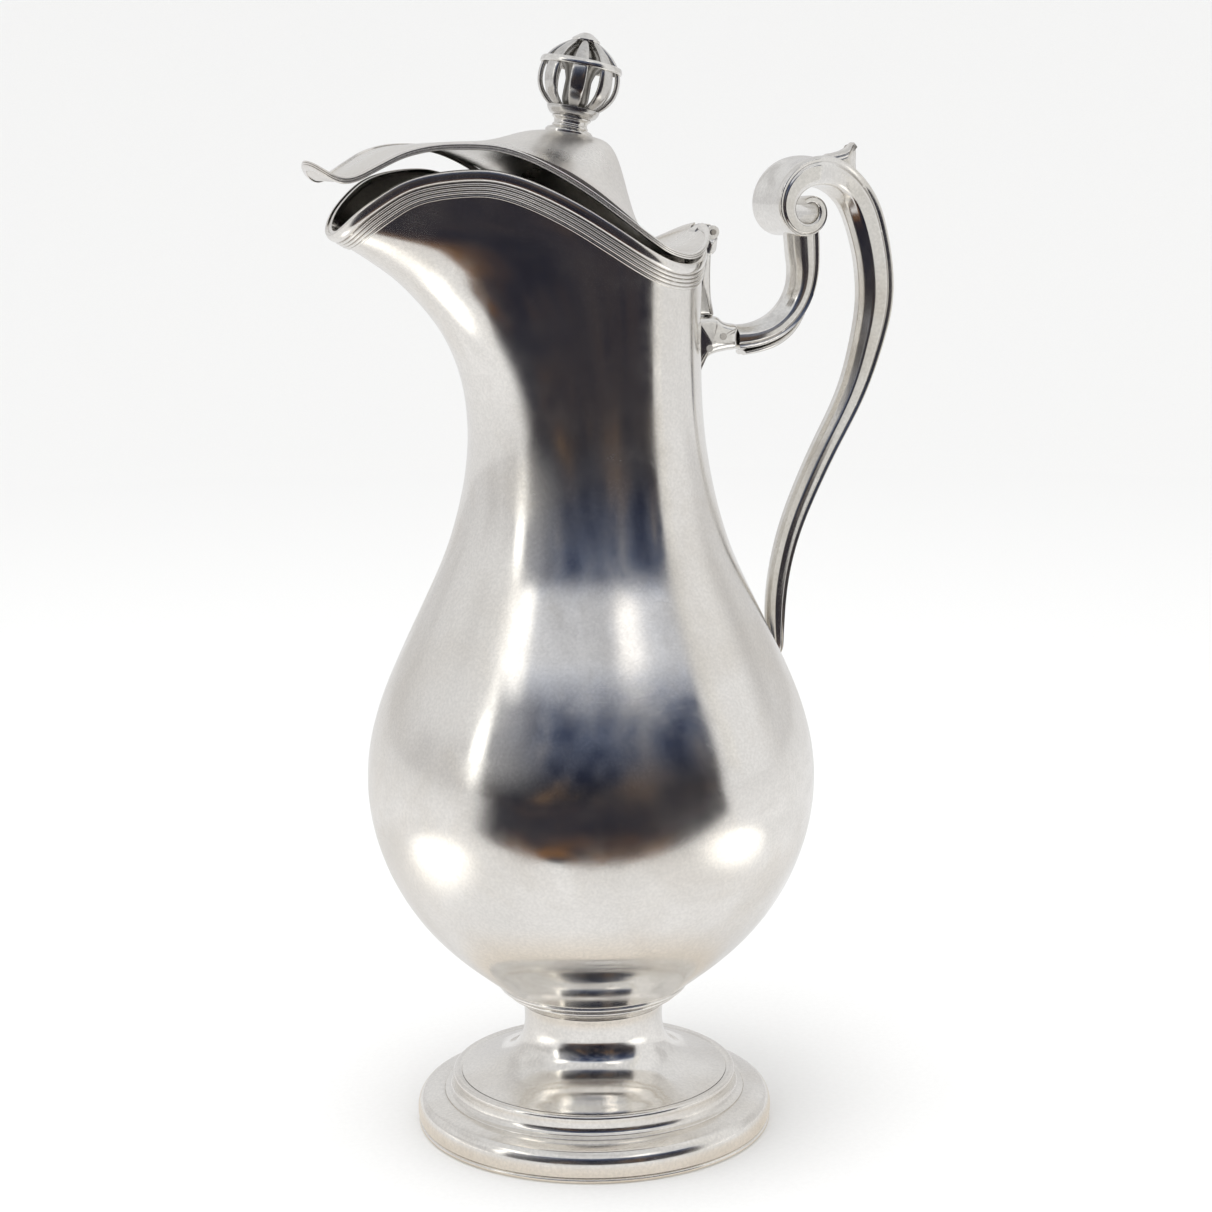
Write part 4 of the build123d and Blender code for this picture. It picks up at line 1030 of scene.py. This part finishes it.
# painted reflection: a glowing pale card beside the handle, seen only in the metal
bm_ = bpy.data.meshes.new("bounce")
bv = []
for rr_, ff_ in ((0.112, 0.063), (0.22, 0.104), (0.42, 0.10)):
    for zz_ in (0.15, 0.36):
        p = right * rr_ + front * ff_
        bv.append((p.x, p.y, zz_))
bm_.from_pydata(bv, [], [(0, 2, 3, 1), (2, 4, 5, 3)])
bounce = bpy.data.objects.new("bounce", bm_)
scene.collection.objects.link(bounce)
wm = bpy.data.materials.new("set_white")
wm.use_nodes = True
nt = wm.node_tree
nt.nodes.remove(nt.nodes["Principled BSDF"])
em = nt.nodes.new("ShaderNodeEmission")
wt = nt.nodes.new("ShaderNodeTexCoord").outputs["Object"]
nt.links.new(ramp(nt, noise(nt, wt, 6.0, 2.0), [(0.35, (0.70, 0.69, 0.67)), (0.7, (0.86, 0.85, 0.83))]), em.inputs["Color"])
nt.links.new(em.outputs[0], nt.nodes["Material Output"].inputs[0])
bounce.data.materials.append(wm)

# two lamp pools on the floor, seen only in the metal
pools = []
for rr_, ff_, size_ in ((-0.228, 0.046, 0.112), (0.262, 0.086, 0.116)):
    pm = bpy.data.meshes.new("pool")
    pv = [(0, 0, 0)] + [(size_ * math.cos(2 * math.pi * k / 48), size_ * math.sin(2 * math.pi * k / 48), 0) for k in range(48)]
    pm.from_pydata(pv, [], [(0, 1 + k, 1 + (k + 1) % 48) for k in range(48)])
    po_ = bpy.data.objects.new("pool", pm)
    p = right * rr_ + front * ff_
    po_.location = (p.x, p.y, 0.0016)
    scene.collection.objects.link(po_)
    pmat = bpy.data.materials.new("pool_light")
    pmat.use_nodes = True
    nt = pmat.node_tree
    nt.nodes.remove(nt.nodes["Principled BSDF"])
    ln = nt.nodes.new("ShaderNodeVectorMath")
    ln.operation = "LENGTH"
    nt.links.new(nt.nodes.new("ShaderNodeTexCoord").outputs["Object"], ln.inputs[0])
    em = nt.nodes.new("ShaderNodeEmission")
    em.inputs["Color"].default_value = (1.0, 0.985, 0.95, 1)
    em.inputs["Strength"].default_value = 1.7
    tr = nt.nodes.new("ShaderNodeBsdfTransparent")
    mx = nt.nodes.new("ShaderNodeMixShader")
    nt.links.new(span(nt, ln.outputs["Value"], size_ * 1.0, size_ * 0.35), mx.inputs[0])
    nt.links.new(tr.outputs[0], mx.inputs[1])
    nt.links.new(em.outputs[0], mx.inputs[2])
    nt.links.new(mx.outputs[0], nt.nodes["Material Output"].inputs[0])
    po_.data.materials.append(pmat)
    pools.append(po_)

# curved paper behind, seen only by the camera
sw = bpy.data.meshes.new("sweep")
sv, sf = [], []
prof = [(1.6 + 2.2 * math.sin(math.radians(a)), 2.2 * (1 - math.cos(math.radians(a)))) for a in np.linspace(0, 90, 24)]
azs = np.linspace(110, 250, 36)
for a in azs:
    for r_, z_ in prof:
        p = front * (math.cos(math.radians(a)) * r_) + right * (math.sin(math.radians(a)) * r_)
        sv.append((p.x, p.y, z_ + 0.0005))
m_ = len(prof)
for i in range(len(azs) - 1):
    for k in range(m_ - 1):
        sf.append((i * m_ + k, (i + 1) * m_ + k, (i + 1) * m_ + k + 1, i * m_ + k + 1))
sw.from_pydata(sv, [], sf)
sweep_o = bpy.data.objects.new("sweep", sw)
scene.collection.objects.link(sweep_o)
sweep_o.data.polygons.foreach_set("use_smooth", [True] * len(sweep_o.data.polygons))
sweep_o.data.materials.append(fm)
sweep_o.visible_glossy = False
sweep_o.visible_diffuse = False
sweep_o.visible_shadow = False
sweep_o.visible_transmission = False
for o in (cardo, bounce, *pools):
    o.visible_camera = False
    o.visible_diffuse = False
    o.visible_shadow = False
    o.visible_transmission = False

# room light
world = bpy.data.worlds.new("studio")
scene.world = world
world.use_nodes = True
nt = world.node_tree
nt.nodes.clear()
dirn = nt.nodes.new("ShaderNodeTexCoord").outputs["Generated"]


fx = vdot(dirn, tuple(front))
rx = vdot(dirn, tuple(right))
az = math_node(nt, "MULTIPLY", math_node(nt, "ARCTAN2", rx, fx), 57.29578)
el = math_node(nt, "MULTIPLY", math_node(nt, "ARCSINE", vdot(dirn, (0, 0, 1))), 57.29578)


def band(v, a0, a1, b0, b1):
    return math_node(nt, "MULTIPLY", span(nt, v, a0, a1), span(nt, v, b0, b1, 1.0, 0.0))


room = ramp(nt, span(nt, el, -5, 90, 0, 1, False), [(0.0, (0.66, 0.655, 0.66)), (0.35, (0.76, 0.76, 0.765)), (1.0, (0.66, 0.67, 0.69))])
room = mix_rgb(nt, math_node(nt, "MULTIPLY", span(nt, noise(nt, dirn, 2.2, 2.0, 0.5), 0.45, 0.68), 0.55), room, (0.50, 0.49, 0.49))
room = mix_rgb(nt, math_node(nt, "MULTIPLY", band(az, 70, 74, 98, 120), 0.7), room, (0.88, 0.88, 0.885))
mott = noise(nt, dirn, 3.6, 3.0, 0.55)
deep = ramp(nt, mott, [(0.34, (0.010, 0.011, 0.020)), (0.5, (0.030, 0.028, 0.034)), (0.70, (0.115, 0.075, 0.05))])
blue = ramp(nt, mott, [(0.34, (0.030, 0.042, 0.085)), (0.5, (0.085, 0.105, 0.165)), (0.70, (0.26, 0.27, 0.30))])
murk = mix_rgb(nt, span(nt, el, 4, 32), deep, blue)
murk = mix_rgb(nt, math_node(nt, "MULTIPLY", span(nt, az, -18, -56), span(nt, el, -2, 16, 0, 0.62)), murk, (0.50, 0.50, 0.51))
# the bright strip high in the room bows down to the sides
bow_el = math_node(nt, "ADD", el, math_node(nt, "MULTIPLY", math_node(nt, "MULTIPLY", az, az), 0.0017))
murk = mix_rgb(nt, span(nt, bow_el, 35.9, 39.9), murk, (0.78, 0.82, 0.92))
dark = math_node(nt, "MULTIPLY", band(az, -59, -55, 67, 71), band(bow_el, -90, -89, 39.3, 41.0))
sky = mix_rgb(nt, dark, room, murk)


def spot(a, b, ra, rb, soft, color):
    da = math_node(nt, "DIVIDE", math_node(nt, "SUBTRACT", az, a), ra)
    db = math_node(nt, "DIVIDE", math_node(nt, "SUBTRACT", el, b), rb)
    d = math_node(nt, "SQRT", math_node(nt, "ADD", math_node(nt, "MULTIPLY", da, da), math_node(nt, "MULTIPLY", db, db)))
    return span(nt, d, 1 - soft, 1 + soft, 1.0, 0.0)


for a, b, ra, rb, soft, colr in ((-57, 36.2, 12, 3.6, 0.45, (1.75, 1.73, 1.68)), (34, 40.3, 14, 2.5, 0.5, (1.7, 1.66, 1.6)),
                                 (-62.5, 17, 4.2, 14, 0.3, (1.7, 1.69, 1.64))):
    sky = mix_rgb(nt, spot(a, b, ra, rb, soft, colr), sky, colr)

lp = nt.nodes.new("ShaderNodeLightPath")
glossy = nt.nodes.new("ShaderNodeBackground")
nt.links.new(sky, glossy.inputs["Color"])
plainw = nt.nodes.new("ShaderNodeBackground")
plainw.inputs["Color"].default_value = (0.97, 0.97, 0.97, 1)
plainw.inputs["Strength"].default_value = 1.07
ms = nt.nodes.new("ShaderNodeMixShader")
nt.links.new(lp.outputs["Is Glossy Ray"], ms.inputs[0])
nt.links.new(plainw.outputs[0], ms.inputs[1])
nt.links.new(glossy.outputs[0], ms.inputs[2])
wo = nt.nodes.new("ShaderNodeOutputWorld")
nt.links.new(ms.outputs[0], wo.inputs[0])

ld = bpy.data.lights.new("overhead", "AREA")
ld.shape = "DISK"
ld.size = 0.9
ld.energy = 6.0
lo = bpy.data.objects.new("overhead", ld)
lo.location = (-0.25, -0.2, 1.3)
lo.rotation_euler = (Vector(lo.location) - Vector((0, 0, 0.1))).to_track_quat("Z", "Y").to_euler()
lo.visible_glossy = False
scene.collection.objects.link(lo)

scene.view_settings.view_transform = "Standard"
